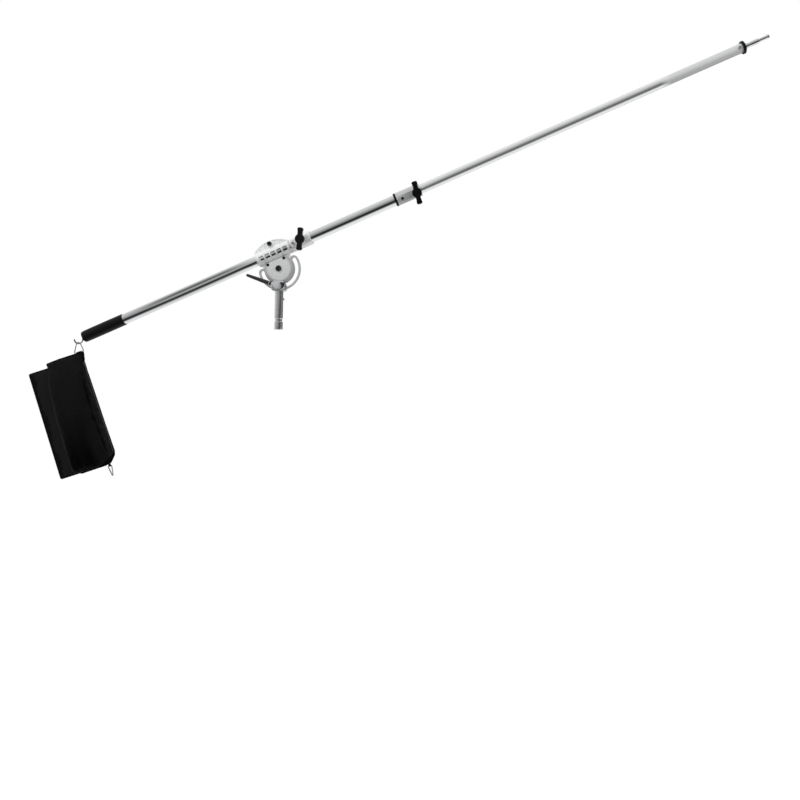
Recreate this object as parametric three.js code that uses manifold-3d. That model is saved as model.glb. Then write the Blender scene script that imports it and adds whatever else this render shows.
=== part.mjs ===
// Overhead boom arm: a two-stage telescopic boom in a tilting head on a 28.6 mm pin,
// with a sand counterweight bag hung from the grip end.
// Millimetres, +Z up, +X towards the lamp end, origin on the flat end of the pin.

import * as THREE from 'three';
import * as BufferGeometryUtils from 'three/addons/utils/BufferGeometryUtils.js';
import Module from 'manifold-3d';

const wasm = await Module();
wasm.setup();

// Shared clearances
const fit = 0.3;
const overrun = 5;
const fineEdge = 1;
const softEdge = 1.5;
const broadEdge = 2;

// Pose of the stored model, in degrees
const boomTilt = 24;
const bagHang = 18.5;
const headKnobTurn = -27;
const collarKnobTurn = -7;
const collarRoll = 20;
const leverRise = 18.5;
const halfTurn = 180;

// Pin and yoke
const pinRadius = 14.3;
const pinHidden = 75;
const pinVisible = 57;
const pinChamfer = 2;
const pinGrooveHeight = 26;
const pinGrooveWidth = 12;
const pinGrooveRadius = 12.4;
const pivotAbovePin = 73;
const earThickness = 10;
const earRadius = 17;
const armRadius = 19;
const neckWidth = 24;
const sideScrewHeight = 103;
const sideScrewRadius = 4.2;
const sideScrewShank = 2.5;
const sideScrewDepth = 7;
const sideScrewHead = 3.6;
const earDiscGap = 1;

// Slotted tilt plate
const plateThickness = 10;
const hubRadius = 54;
const slotWidth = 13;
const slotSweep = 100;
const bandWidth = 6;
const boomOffset = 55.5;

// Ribbed boom sleeve on the plate
const sleeveRadius = 23;
const sleeveRear = 59;
const sleeveFront = 64;
const sleeveBead = 1.8;
const sleeveBeadLength = 6;
const windowCount = 5;
const windowRearMargin = 11;
const windowFrontMargin = 7;
const windowRib = 5;
const windowTop = 5;
const windowBottom = 13;
const windowCorner = 2.5;
const windowDepth = 14;
const bushLength = 14;
const bushWall = 1;

// Fan of stiffening ribs over the sleeve
const fanRadius = 99;
const fanHalfAngle = 37;
const fanWeb = 6;
const fanRim = 4.5;
const fanDepth = 16;
const fanRib = 3;
const fanRibAngle = 12;
const fanBossRadius = 9.5;
const fanBossHeight = 90;

// Disc cover over the pivot
const discRadius = 52;
const discDepth = 10.5;
const discCrown = 0.5;
const discCrownShare = 0.55;
const discFaceShare = 0.846;
const discFaceDrop = 2;
const discShoulderShare = 0.962;
const discShoulderDrop = 4;
const discEdgeDrop = 7;
const discHeadSink = 2;
const discScrewSpread = 30;
const discScrewHeight = 25.5;

// Brake collar in front of the sleeve
const brakeGap = 3.5;
const brakeLength = 73;
const brakeRadius = 23.5;
const brakeScrewPlace = 12;
const brakeKnobPlace = 42;
const bridgeBack = 5.75;

// T knobs and their screws
const knobHubRadius = 16;
const knobLength = 75;
const knobWaist = 7.5;
const knobFlare = 9.5;
const knobCorner = 5.7;
const knobDepth = 15;
const knobBevel = 2;
const knobNeckRadius = 10.5;
const knobNeck = 6;
const knobGap = 4;
const screwRadius = 5;
const screwInKnob = 14;
const knobBossRadius = 13;
const knobBossHeight = 4.5;

// Pivot and clamp hardware
const pivotBoltRadius = 6;
const pivotHeadRadius = 9;
const pivotHeadHeight = 7;
const nutRadius = 10;
const nutHeight = 9;
const washerThickness = 1.6;
const nutCrownShares = [0.8, 0.65];
const nutHexShare = 0.7;
const nutCrownShare = 0.85;
const nutBoreShare = 0.75;
const fanNutHeight = 7.2;
const clampBoltRadius = 5;
const clampWasherRadius = 11.5;
const leverHubRadius = 11;
const leverHubDepth = 25;
const leverLength = 112;
const leverThick = 7;
const leverThin = 4.6;
const leverNeck = 8;
const leverStep = 2;
const leverCollar = 5.25;
const leverBore = 15;
const leverTip = 3.2;
const leverTipLength = 1.4;

// Small machine screws
const crownShare = 0.3;
const socketShare = 0.5;
const smallHeadRadius = 4.8;
const smallHeadHeight = 3.4;
const smallShankRadius = 2.5;
const smallShankLength = 11;
const smallBossRadius = 7;
const smallBossHeight = 2.2;
const smallShankPast = 3;
const fanScrewHead = 7.5;
const fanScrewHeadHeight = 8;
const fanScrewShank = 4;

// Tubes
const outerRadius = 17.5;
const innerRadius = 15;
const tubeWall = 1.5;
const boomRear = 732;
const collarStart = 448;
const collarLength = 92;
const collarRadius = 21.3;
const collarOverTube = 36;
const collarScrewPlace = 26;
const collarKnobPlace = 77;
const collarPadWidth = 24;
const collarPadHeight = 2.6;
const collarPadCorner = 9.6;
const ringRadius = 22;
const ringWidth = 7;
const extension = 1103;
const overlap = 120;
const gripLength = 160;
const gripWall = 2.4;
const gripLip = 5;
const bushFromKnob = 11.6;
const rearPlugFlange = 10;
const rearPlugDepth = 22;

// Rear plug and hook
const plugDepth = 24;
const hookWire = 2;
const hookRadius = 14;
const hookYaw = 42;
const hookShank = 14;
const hookSweep = 200;
const hookDrop = 9;
const hookStart = 15;
const hookPoints = 12;
const hookSteps = 34;
const hookSet = 19;

// Tip of the inner tube
const tipRingRadius = 20.5;
const tipRingWidth = 8;
const studRadius = 8;
const studLength = 44;
const studFlangeThickness = 3;
const studGroovePlace = 12;
const studGroove = 5;
const studGrooveRadius = 6.2;
const tipPinRadius = 5.6;
const tipPinLength = 34;
const tipHeadRadius = 6.8;
const tipHeadLength = 8;
const studPlug = 34;
const tipScrewPlace = 18;

// Counterweight bag, in its own frame with the top hem level
const ringWire = 1.6;
const ringBase = 37;
const ringHeight = 49;
const ringCorner = 4;
const ringApexRadius = 8;
const ringApexShare = 0.8;
const ringSteps = 6;
const pullSteps = 4;
const bagWidth = 144;
const bagHeight = 402;
const bagRight = 5;
const bagDrop = 37;
const frontPouch = 72;
const rearPouch = 21;
const rearLeft = 218;
const rearDrop = 15;
const rearLift = 2;
const pouchPlane = 13.9;
const pouchSeam = 17;
const rearSeam = 9;
const pouchAcross = 8;
const pouchUp = 12;
const pouchSidePower = 3.5;
const pouchEndPower = 9;
const webbing = 1.5;
const tabWidth = 18;
const zipWidth = 9;
const zipThickness = 3;
const zipInset = 24;
const lowerTab = 14;
const lowerDrop = 4.2;
const pullPlace = 30;
const pullBase = 30;
const pullHeight = 44;

// Facets round a turn
const roundFacets = 24;
const largeFacets = 36;
const smallFacets = 12;
const hexFacets = 6;
const wireFacets = 6;
const arcSegments = 7;
const knobSegments = 4;
const longArcSegments = 16;
const cornerSteps = 2;

// Derived places
const pivotHeight = pinHidden + pinVisible + pivotAbovePin;
const slotRadius = hubRadius + slotWidth / 2;
const plateRadius = hubRadius + slotWidth + bandWidth;
const plateHalf = plateThickness / 2;
const earInner = plateHalf + fit;
const earOuter = earInner + earThickness;
const tubeBore = outerRadius + fit;
const bushOuter = tubeBore + bushWall;
const sleeveBore = tubeBore + fit;
const brakeStart = sleeveFront + brakeGap;
const brakeEnd = brakeStart + brakeLength;
const collarEnd = collarStart + collarLength;
const outerTubeEnd = collarStart + collarOverTube;
const tubeRear = gripLip + fit - boomRear;
const tipStart = collarEnd + extension;
const innerRear = collarEnd - overlap;
const rearHeight = bagHeight - rearDrop - rearLift;
const radians = THREE.MathUtils.degToRad;

// Finishes
const finish = (color, roughness, metalness) => ({ color, roughness, metalness });
const chrome = finish(0xd4d7db, 0.12, 1);
const castAluminium = finish(0xb9bbbd, 0.42, 0.85);
const discMetal = finish(0x77797c, 0.45, 0.8);
const darkSteel = finish(0x4a4c50, 0.3, 0.9);
const blackSteel = finish(0x17181a, 0.45, 0.6);
const zincWire = finish(0xa9abad, 0.35, 0.9);
const blackPlastic = finish(0x111214, 0.5, 0);
const blackRubber = finish(0x1b1b1c, 0.85, 0);
const paleNylon = finish(0xd8d6cf, 0.55, 0);
const blackCordura = finish(0x1d1e20, 0.95, 0);

// A closed three.js geometry as a solid, turned right side out
function solidOf(geometry) {
  const bare = geometry.clone();
  bare.deleteAttribute('normal');
  bare.deleteAttribute('uv');
  const merged = BufferGeometryUtils.mergeVertices(bare);
  const points = merged.attributes.position.array;
  const faces = Uint32Array.from(merged.index.array);
  if (signedVolume(points, faces) < 0) {
    for (let i = 0; i < faces.length; i += 3) [faces[i], faces[i + 1]] = [faces[i + 1], faces[i]];
  }
  const vertProperties = Float32Array.from(points);
  return new wasm.Manifold(new wasm.Mesh({ numProp: 3, vertProperties, triVerts: faces }));
}

// Six times the volume that the faces enclose
function signedVolume(points, faces) {
  const corners = [new THREE.Vector3(), new THREE.Vector3(), new THREE.Vector3()];
  let total = 0;
  for (let i = 0; i < faces.length; i += 3) {
    corners.forEach((corner, k) => corner.fromArray(points, faces[i + k] * 3));
    total += corners[0].dot(corners[1].clone().cross(corners[2]));
  }
  return total;
}

// The three.js geometry of a solid
function geometryOf(solid) {
  const mesh = solid.getMesh();
  const positions = new Float32Array(mesh.numVert * 3);
  for (let i = 0; i < mesh.numVert; i += 1) {
    for (let k = 0; k < 3; k += 1) positions[i * 3 + k] = mesh.vertProperties[i * mesh.numProp + k];
  }
  const geometry = new THREE.BufferGeometry();
  geometry.setAttribute('position', new THREE.BufferAttribute(positions, 3));
  geometry.setIndex(new THREE.BufferAttribute(Uint32Array.from(mesh.triVerts), 1));
  return geometry;
}

// A profile of [radius, station] pairs turned round the X, Y or Z axis
function turned(axis, profile, facets = roundFacets) {
  const points = profile.map(([radius, station]) => new THREE.Vector2(radius, station));
  const open = profile[0][0] > 0 || profile[profile.length - 1][0] > 0;
  if (open) points.push(points[0].clone());
  const geometry = new THREE.LatheGeometry(points, facets);
  if (axis === 'x') geometry.rotateZ(-Math.PI / 2);
  if (axis === 'z') geometry.rotateX(Math.PI / 2);
  return solidOf(geometry);
}

// A round bar along an axis between two stations
function bar(axis, radius, from, to, facets = roundFacets) {
  return turned(axis, [[0, from], [radius, from], [radius, to], [0, to]], facets);
}

// A straight tube along an axis between two stations
function pipe(axis, outer, inner, from, to, facets = roundFacets) {
  return turned(axis, [[inner, from], [outer, from], [outer, to], [inner, to]], facets);
}

// A shape drawn in the XZ plane and extruded along Y between two stations
function slab(shape, from, to, options = {}) {
  const bevel = options.bevel ?? 0;
  const geometry = new THREE.ExtrudeGeometry(shape, {
    depth: to - from - 2 * bevel,
    steps: 1,
    curveSegments: options.curveSegments ?? arcSegments,
    bevelEnabled: bevel > 0,
    bevelThickness: bevel,
    bevelSize: bevel,
    bevelOffset: -bevel,
    bevelSegments: 1,
  });
  geometry.rotateX(Math.PI / 2);
  geometry.translate(0, to - bevel, 0);
  return solidOf(geometry);
}

// A solid moved and turned, the turn first
function moved(solid, place, turn = [0, 0, 0]) {
  return solid.rotate(turn).translate(place);
}

// Half the angle of a polygon's corner and the directions to its neighbours
function cornerOf(corners, i) {
  const before = corners[(i + corners.length - 1) % corners.length].clone().sub(corners[i]).normalize();
  const after = corners[(i + 1) % corners.length].clone().sub(corners[i]).normalize();
  return { before, after, half: Math.acos(before.dot(after)) / 2 };
}

// The centre of the arc that rounds a polygon's corner
function cornerCentre(corners, i, radius) {
  const { before, after, half } = cornerOf(corners, i);
  return before.add(after).setLength(radius / Math.sin(half)).add(corners[i]);
}

// Points on the rounded corners of a polygon in a plane
function roundedCorners(corners, radii, steps) {
  const points = [];
  corners.forEach((corner, i) => {
    const { before, after, half } = cornerOf(corners, i);
    const centre = cornerCentre(corners, i, radii[i]);
    const start = before.clone().multiplyScalar(radii[i] / Math.tan(half)).add(corner).sub(centre);
    const turn = Math.sign(before.cross(after)) * (Math.PI - 2 * half);
    for (let k = 0; k <= steps; k += 1) {
      points.push(start.clone().rotateAround(new THREE.Vector2(), (-turn * k) / steps).add(centre));
    }
  });
  return points;
}

// A closed wire loop along plane points, lying in the XZ plane
function wireLoop(points, radius) {
  const rings = points.length;
  const positions = [];
  const index = [];
  points.forEach((point, i) => {
    const next = points[(i + 1) % rings];
    const last = points[(i + rings - 1) % rings];
    const side = next.clone().sub(last).normalize().rotateAround(new THREE.Vector2(), Math.PI / 2);
    for (let k = 0; k < wireFacets; k += 1) {
      const turn = (2 * Math.PI * k) / wireFacets;
      const out = side.clone().multiplyScalar(radius * Math.cos(turn)).add(point);
      positions.push(out.x, radius * Math.sin(turn), out.y);
      const a = i * wireFacets + k;
      const b = i * wireFacets + ((k + 1) % wireFacets);
      const c = ((i + 1) % rings) * wireFacets + k;
      const d = ((i + 1) % rings) * wireFacets + ((k + 1) % wireFacets);
      index.push(a, b, c, b, d, c);
    }
  });
  const geometry = new THREE.BufferGeometry();
  geometry.setAttribute('position', new THREE.Float32BufferAttribute(positions, 3));
  geometry.setIndex(index);
  return solidOf(geometry);
}

// A named piece in a group
function piece(group, name, solid, look) {
  const mesh = new THREE.Mesh(geometryOf(solid), new THREE.MeshStandardMaterial(look));
  mesh.name = name;
  group.add(mesh);
  return mesh;
}

// A group placed and turned in its parent, angles in degrees about X, Y and Z
function frameIn(parent, place, turn = [0, 0, 0]) {
  const group = new THREE.Group();
  group.position.set(...place);
  group.rotation.set(...turn.map(radians));
  parent.add(group);
  return group;
}

// A machine screw along Y: its head stands out to -Y from the seat, its shank runs to +Y
function screw(seat, headRadius, headHeight, shankRadius, shankLength) {
  const crown = headHeight * crownShare;
  const top = seat - headHeight;
  const head = turned('y', [
    [0, top], [headRadius - crown, top], [headRadius, top + crown], [headRadius, seat],
    [shankRadius, seat], [shankRadius, seat + shankLength], [0, seat + shankLength],
  ], smallFacets);
  const floor = top + headHeight * socketShare;
  return head.subtract(bar('y', headRadius * socketShare, top - overrun, floor, hexFacets));
}

// Pin, fork and rear arm, one forging
function yokeSolid() {
  const shoulder = pinHidden + pinVisible;
  const groove = pinGrooveHeight + pinGrooveWidth;
  const slope = pinRadius - pinGrooveRadius;
  const post = turned('z', [
    [0, 0], [pinRadius - pinChamfer, 0], [pinRadius, pinChamfer], [pinRadius, pinGrooveHeight],
    [pinGrooveRadius, pinGrooveHeight + slope], [pinGrooveRadius, groove - slope], [pinRadius, groove],
    [pinRadius, shoulder], [0, shoulder],
  ]);
  const clampHeight = pivotHeight - slotRadius;
  const front = new THREE.Shape();
  front.moveTo(-pinRadius, shoulder - earRadius);
  front.lineTo(pinRadius, shoulder - earRadius);
  front.lineTo(earRadius, clampHeight);
  front.absarc(0, clampHeight, earRadius, 0, Math.PI, false);
  front.closePath();
  const rear = new THREE.Shape();
  rear.moveTo(-pinRadius, shoulder - earRadius);
  rear.lineTo(pinRadius, shoulder - earRadius);
  rear.lineTo(earRadius, clampHeight);
  rear.lineTo(neckWidth / 2, clampHeight + earRadius);
  rear.lineTo(armRadius, pivotHeight);
  rear.absarc(0, pivotHeight, armRadius, 0, Math.PI, false);
  rear.lineTo(-neckWidth / 2, clampHeight + earRadius);
  rear.lineTo(-earRadius, clampHeight);
  rear.closePath();
  const slotFloor = pivotHeight - plateRadius - fit;
  const slot = new THREE.Shape();
  slot.moveTo(-armRadius - overrun, slotFloor);
  slot.lineTo(armRadius + overrun, slotFloor);
  slot.lineTo(armRadius + overrun, pivotHeight + armRadius + overrun);
  slot.lineTo(-armRadius - overrun, pivotHeight + armRadius + overrun);
  slot.closePath();
  const sideHole = bar(
    'x', sideScrewShank + fit, pinRadius - sideScrewDepth, pinRadius + overrun, smallFacets,
  );
  const ends = earOuter + overrun;
  return post
    .add(slab(front, -earOuter, 0))
    .add(slab(rear, 0, earOuter))
    .subtract(slab(slot, -earInner, earInner))
    .subtract(moved(bar('y', discRadius + earDiscGap, -ends, -plateHalf, largeFacets), [0, 0, pivotHeight]))
    .subtract(moved(bar('y', clampBoltRadius + fit, -ends, ends, smallFacets), [0, 0, clampHeight]))
    .subtract(moved(bar('y', pivotBoltRadius + fit, 0, ends, smallFacets), [0, 0, pivotHeight]))
    .subtract(moved(sideHole, [0, 0, sideScrewHeight]));
}

// The small set screw in the side of the pin
function sideScrewSolid() {
  const tip = pinRadius - sideScrewDepth + fit;
  const seat = pinRadius + fit;
  const crown = seat + sideScrewHead;
  return turned('x', [
    [0, tip], [sideScrewShank, tip], [sideScrewShank, seat], [sideScrewRadius, seat],
    [sideScrewRadius, crown - fineEdge], [sideScrewRadius - fineEdge, crown], [0, crown],
  ], smallFacets);
}

// An annular sector about the pivot, centred on the given angle, with round ends
function bandShape(inner, outer, middle, sweep, endRadius) {
  const centreRadius = (inner + outer) / 2;
  const start = radians(middle - sweep);
  const end = radians(middle + sweep);
  const shape = new THREE.Shape();
  const last = new THREE.Vector2(centreRadius, 0).rotateAround(new THREE.Vector2(), end);
  const first = new THREE.Vector2(centreRadius, 0).rotateAround(new THREE.Vector2(), start);
  shape.absarc(0, 0, outer, start, end, false);
  shape.absarc(last.x, last.y, endRadius, end, end + Math.PI, false);
  shape.absarc(0, 0, inner, end, start, true);
  shape.absarc(first.x, first.y, endRadius, start + Math.PI, start + 2 * Math.PI, false);
  shape.closePath();
  return shape;
}

// A rectangle with rounded corners in the XZ plane
function windowShape(left, bottom, width, height, corner) {
  const corners = [[0, 0], [width, 0], [width, height], [0, height]]
    .map(([x, z]) => new THREE.Vector2(left + x, bottom + z));
  return new THREE.Shape(roundedCorners(corners, corners.map(() => corner), cornerSteps));
}

// Slotted plate, ribbed sleeve and fan, one casting
function headSolid() {
  const body = new THREE.Shape();
  body.moveTo(-hubRadius, boomOffset);
  body.lineTo(-hubRadius, 0);
  body.absarc(0, 0, hubRadius, Math.PI, 2 * Math.PI, false);
  body.lineTo(hubRadius, boomOffset);
  body.closePath();
  const bandHalf = slotWidth / 2 + bandWidth;
  const band = bandShape(slotRadius - bandHalf, slotRadius + bandHalf, -90, slotSweep, bandHalf);
  const slot = bandShape(hubRadius, hubRadius + slotWidth, -90, slotSweep, slotWidth / 2);
  const lip = sleeveRadius + sleeveBead;
  const sleeve = turned('x', [
    [0, -sleeveRear], [lip - fineEdge, -sleeveRear], [lip, fineEdge - sleeveRear],
    [lip, sleeveBeadLength - sleeveRear], [sleeveRadius, sleeveBeadLength + sleeveBead - sleeveRear],
    [sleeveRadius, sleeveFront - fineEdge], [sleeveRadius - fineEdge, sleeveFront], [0, sleeveFront],
  ]);
  const bore = bar('x', sleeveBore, -sleeveRear - overrun, sleeveFront + overrun);
  const seat = bar('x', bushOuter + fit, -sleeveRear - overrun, bushLength + fit - sleeveRear);
  const along = [0, 0, boomOffset];
  const arcs = { curveSegments: longArcSegments };
  const face = plateHalf + overrun;
  let head = slab(body, -plateHalf, plateHalf, arcs)
    .add(slab(band, -plateHalf, plateHalf, arcs))
    .subtract(slab(slot, -face, face, arcs))
    .add(moved(sleeve, along))
    .add(fanSolid())
    .subtract(moved(bore, along))
    .subtract(moved(seat, along));
  const windowStart = windowRearMargin - sleeveRear;
  const pitch = (sleeveFront - windowFrontMargin - windowStart + windowRib) / windowCount;
  for (let i = 0; i < windowCount; i += 1) {
    const left = windowStart + i * pitch;
    const bottom = boomOffset - windowBottom;
    const opening = windowShape(left, bottom, pitch - windowRib, windowBottom + windowTop, windowCorner);
    const cut = slab(opening, 0, windowDepth + overrun);
    head = head
      .subtract(cut.translate([0, sleeveRadius - windowDepth, 0]))
      .subtract(cut.translate([0, -sleeveRadius - overrun, 0]));
  }
  for (const side of [-1, 1]) {
    const hole = bar('y', smallShankRadius + fit, -face, face, smallFacets);
    head = head.subtract(moved(hole, [side * discScrewSpread, 0, discScrewHeight]));
  }
  return head.subtract(bar('y', pivotBoltRadius + fit, -face, face, smallFacets));
}

// The fan over the sleeve: web, rim, radial ribs and the screw boss
function fanSolid() {
  const from = radians(90 - fanHalfAngle);
  const to = radians(90 + fanHalfAngle);
  const web = new THREE.Shape();
  web.moveTo(0, boomOffset);
  web.absarc(0, 0, fanRadius, from, to, false);
  web.closePath();
  const rim = new THREE.Shape();
  rim.absarc(0, 0, fanRadius, from, to, false);
  rim.absarc(0, 0, fanRadius - fanRim, to, from, true);
  rim.closePath();
  let fan = slab(web, -fanWeb / 2, fanWeb / 2).add(slab(rim, -fanDepth / 2, fanDepth / 2));
  const ribs = Math.floor(fanHalfAngle / fanRibAngle);
  const rib = new THREE.Shape();
  rib.moveTo(-fanRib / 2, boomOffset);
  rib.lineTo(fanRib / 2, boomOffset);
  rib.lineTo(fanRib / 2, fanRadius - fanRim / 2);
  rib.lineTo(-fanRib / 2, fanRadius - fanRim / 2);
  rib.closePath();
  const ribSolid = slab(rib, -fanDepth / 2, fanDepth / 2);
  for (let i = -ribs; i <= ribs; i += 1) fan = fan.add(ribSolid.rotate([0, i * fanRibAngle, 0]));
  const boss = bar('y', fanBossRadius, -fanDepth / 2, fanDepth / 2, smallFacets);
  const hole = bar('y', fanScrewShank + fit, -fanDepth, fanDepth, smallFacets);
  return fan.add(moved(boss, [0, 0, fanBossHeight])).subtract(moved(hole, [0, 0, fanBossHeight]));
}

// The domed disc over the pivot, cut level under the sleeve
function discSolid() {
  const back = -plateHalf - fit;
  const face = back - discDepth;
  const dome = turned('y', [
    [0, face], [discRadius * discCrownShare, face + discCrown],
    [discRadius * discFaceShare, face + discFaceDrop],
    [discRadius * discShoulderShare, face + discShoulderDrop], [discRadius, face + discEdgeDrop],
    [discRadius, back], [0, back],
  ], largeFacets);
  const level = boomOffset - sleeveRadius - sleeveBead - fit;
  const above = new THREE.Shape();
  above.moveTo(-discRadius - overrun, level);
  above.lineTo(discRadius + overrun, level);
  above.lineTo(discRadius + overrun, discRadius + overrun);
  above.lineTo(-discRadius - overrun, discRadius + overrun);
  above.closePath();
  const boreRadius = pivotBoltRadius + fit;
  let disc = dome
    .subtract(slab(above, face - overrun, back + overrun))
    .subtract(bar('y', boreRadius, face - overrun, back + overrun, smallFacets))
    .subtract(bar('y', pivotHeadRadius + fit, face - overrun, face + discHeadSink));
  for (const side of [-1, 1]) {
    const place = [side * discScrewSpread, 0, discScrewHeight];
    const shank = bar('y', smallShankRadius + fit, face - overrun, back + overrun, smallFacets);
    const seat = bar('y', smallHeadRadius + fit, face - overrun, face + smallHeadHeight, smallFacets);
    disc = disc.subtract(moved(shank, place)).subtract(moved(seat, place));
  }
  return disc;
}

// A collar casting round the X axis, with a knob boss and a small screw boss facing -Y
function clampCollar(profile, radius, knobPlace, screwPlace, padWidth, padHeight) {
  const knobTop = radius + knobBossHeight;
  const padLength = knobPlace - screwPlace + padWidth;
  const pad = windowShape(screwPlace - padWidth / 2, -padWidth / 2, padLength, padWidth, collarPadCorner);
  const smallTop = radius + padHeight + smallBossHeight;
  return turned('x', profile)
    .add(slab(pad, -radius - padHeight, 0))
    .add(moved(bar('y', knobBossRadius, -knobTop, 0, smallFacets), [knobPlace, 0, 0]))
    .add(moved(bar('y', smallBossRadius, -smallTop, 0, smallFacets), [screwPlace, 0, 0]));
}

// The holes of a clamp collar for its knob screw and its small screw
function collarHoles(knobPlace, screwPlace, reach, smallTip) {
  const outside = -reach - overrun;
  const small = bar('y', smallShankRadius + fit, outside, -smallTip, smallFacets);
  return moved(bar('y', screwRadius + fit, outside, 0, smallFacets), [knobPlace, 0, 0])
    .add(moved(small, [screwPlace, 0, 0]));
}

// The brake collar on the head, which clamps the outer tube
function brakeSolid() {
  const start = brakeStart;
  const end = brakeEnd;
  const profile = [
    [0, start], [brakeRadius - softEdge, start], [brakeRadius, start + softEdge],
    [brakeRadius, end - 2 * softEdge], [brakeRadius - 2 * softEdge, end], [0, end],
  ];
  const knobPlace = start + brakeKnobPlace;
  const screwPlace = start + brakeScrewPlace;
  const reach = brakeRadius + knobBossHeight;
  return clampCollar(profile, brakeRadius, knobPlace, screwPlace, collarPadWidth, collarPadHeight)
    .add(bridgeSolid())
    .subtract(bar('x', sleeveBore, start - overrun, end + overrun))
    .subtract(bar('x', bushOuter + fit, end - bushLength - fit, end + overrun))
    .subtract(collarHoles(knobPlace, screwPlace, reach, sleeveBore));
}

// The wall behind the saw cut, which seats the brake collar on the sleeve
function bridgeSolid() {
  const block = bar('x', sleeveRadius - fineEdge, sleeveFront + fit, brakeStart + fineEdge);
  const front = new THREE.Shape();
  front.moveTo(sleeveFront - overrun, -sleeveRadius);
  front.lineTo(brakeStart + overrun, -sleeveRadius);
  front.lineTo(brakeStart + overrun, sleeveRadius);
  front.lineTo(sleeveFront - overrun, sleeveRadius);
  front.closePath();
  return block.subtract(slab(front, -sleeveRadius, bridgeBack));
}

// The front collar of the outer tube, which clamps the inner tube
function frontCollarSolid() {
  const start = ringWidth + fit;
  const mouth = collarLength - 2 * broadEdge;
  const profile = [
    [0, start], [collarRadius - fineEdge, start], [collarRadius, start + fineEdge],
    [collarRadius, mouth], [collarRadius - broadEdge, collarLength], [0, collarLength],
  ];
  const reach = collarRadius + knobBossHeight;
  return clampCollar(
    profile, collarRadius, collarKnobPlace, collarScrewPlace, collarPadWidth, collarPadHeight,
  )
    .subtract(bar('x', outerRadius + fit, -overrun, mouth))
    .subtract(bar('x', innerRadius + 2 * fit, -overrun, collarLength + overrun))
    .subtract(collarHoles(collarKnobPlace, collarScrewPlace, reach, outerRadius + fit));
}

// The T knob about the Y axis: its neck starts at Y zero and its face looks to -Y
function knobSolid() {
  const waist = Math.sqrt(knobHubRadius ** 2 - knobWaist ** 2);
  const half = knobLength / 2;
  const corner = knobCorner;
  const waistAngle = Math.atan2(waist, knobWaist);
  const shape = new THREE.Shape();
  shape.absarc(0, 0, knobHubRadius, -waistAngle, waistAngle, false);
  shape.absarc(knobFlare - corner, half - corner, corner, 0, Math.PI / 2, false);
  shape.absarc(corner - knobFlare, half - corner, corner, Math.PI / 2, Math.PI, false);
  shape.absarc(0, 0, knobHubRadius, Math.PI - waistAngle, Math.PI + waistAngle, false);
  shape.absarc(corner - knobFlare, corner - half, corner, Math.PI, 1.5 * Math.PI, false);
  shape.absarc(knobFlare - corner, corner - half, corner, 1.5 * Math.PI, 2 * Math.PI, false);
  shape.closePath();
  const face = -knobNeck - knobDepth;
  const seat = bar('y', screwRadius + fit, -screwInKnob - fit, overrun, smallFacets);
  return slab(shape, face, -knobNeck, { bevel: knobBevel, curveSegments: knobSegments })
    .add(bar('y', knobNeckRadius, -knobNeck - knobBevel, 0, smallFacets))
    .subtract(seat);
}

// The screw of a T knob along -Y, from the tube that it clamps into the knob
function knobScrewSolid(tubeRadius, knobSeat) {
  const tip = -tubeRadius - fit;
  const end = -knobSeat - screwInKnob;
  return turned('y', [
    [0, end], [screwRadius - fineEdge, end], [screwRadius, end + fineEdge],
    [screwRadius, tip - softEdge], [screwRadius - softEdge, tip], [0, tip],
  ], smallFacets);
}

// A hexagon nut with a round crown along Y, its seat towards -Y
function nutSolid(seat, radius, bore, height) {
  const hexagon = bar('y', radius, seat, seat + height * nutHexShare, hexFacets);
  const [wide, narrow] = nutCrownShares.map((share) => radius * share);
  const crown = turned('y', [
    [0, seat], [wide, seat], [wide, seat + height * nutCrownShare], [narrow, seat + height],
    [0, seat + height],
  ], smallFacets);
  const hole = bar('y', bore, seat - overrun, seat + height * nutBoreShare, smallFacets);
  return hexagon.add(crown).subtract(hole);
}

// Tilt lock lever: a tapered bar on a round hub that turns on the clamp bolt
function leverSolid(seat) {
  const face = seat - leverHubDepth;
  const neckEnd = leverHubRadius + leverNeck;
  const hub = turned('y', [
    [0, face], [leverHubRadius - broadEdge, face], [leverHubRadius, face + broadEdge],
    [leverHubRadius, seat], [0, seat],
  ]);
  const grip = turned('x', [
    [0, 0], [leverCollar, 0], [leverCollar, neckEnd], [leverThick, neckEnd + fineEdge],
    [leverThin, leverLength - leverThin], [leverTip, leverLength - leverTipLength], [0, leverLength],
  ], smallFacets);
  return hub
    .add(moved(grip, [0, face + leverThick + leverStep, 0], [0, halfTurn + leverRise, 0]))
    .subtract(bar('y', clampBoltRadius + fit, seat - leverBore, seat + overrun, smallFacets));
}

// A filled pouch: flat at the back on Y zero, it swells to -Y towards its middle
function pouchSolid(width, thickness, height, seam) {
  const geometry = new THREE.BoxGeometry(width, thickness, height, pouchAcross, 1, pouchUp);
  const position = geometry.attributes.position;
  for (let i = 0; i < position.count; i += 1) {
    const a = Math.min(1, Math.abs(2 * position.getX(i)) / width);
    const b = Math.min(1, Math.abs(2 * position.getZ(i)) / height);
    const swell = Math.sqrt((1 - a ** pouchSidePower) * (1 - b ** pouchEndPower));
    const share = 1 / 2 - position.getY(i) / thickness;
    position.setY(i, -share * (seam + (thickness - seam) * swell));
  }
  return solidOf(geometry);
}

const model = new THREE.Group();

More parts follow.
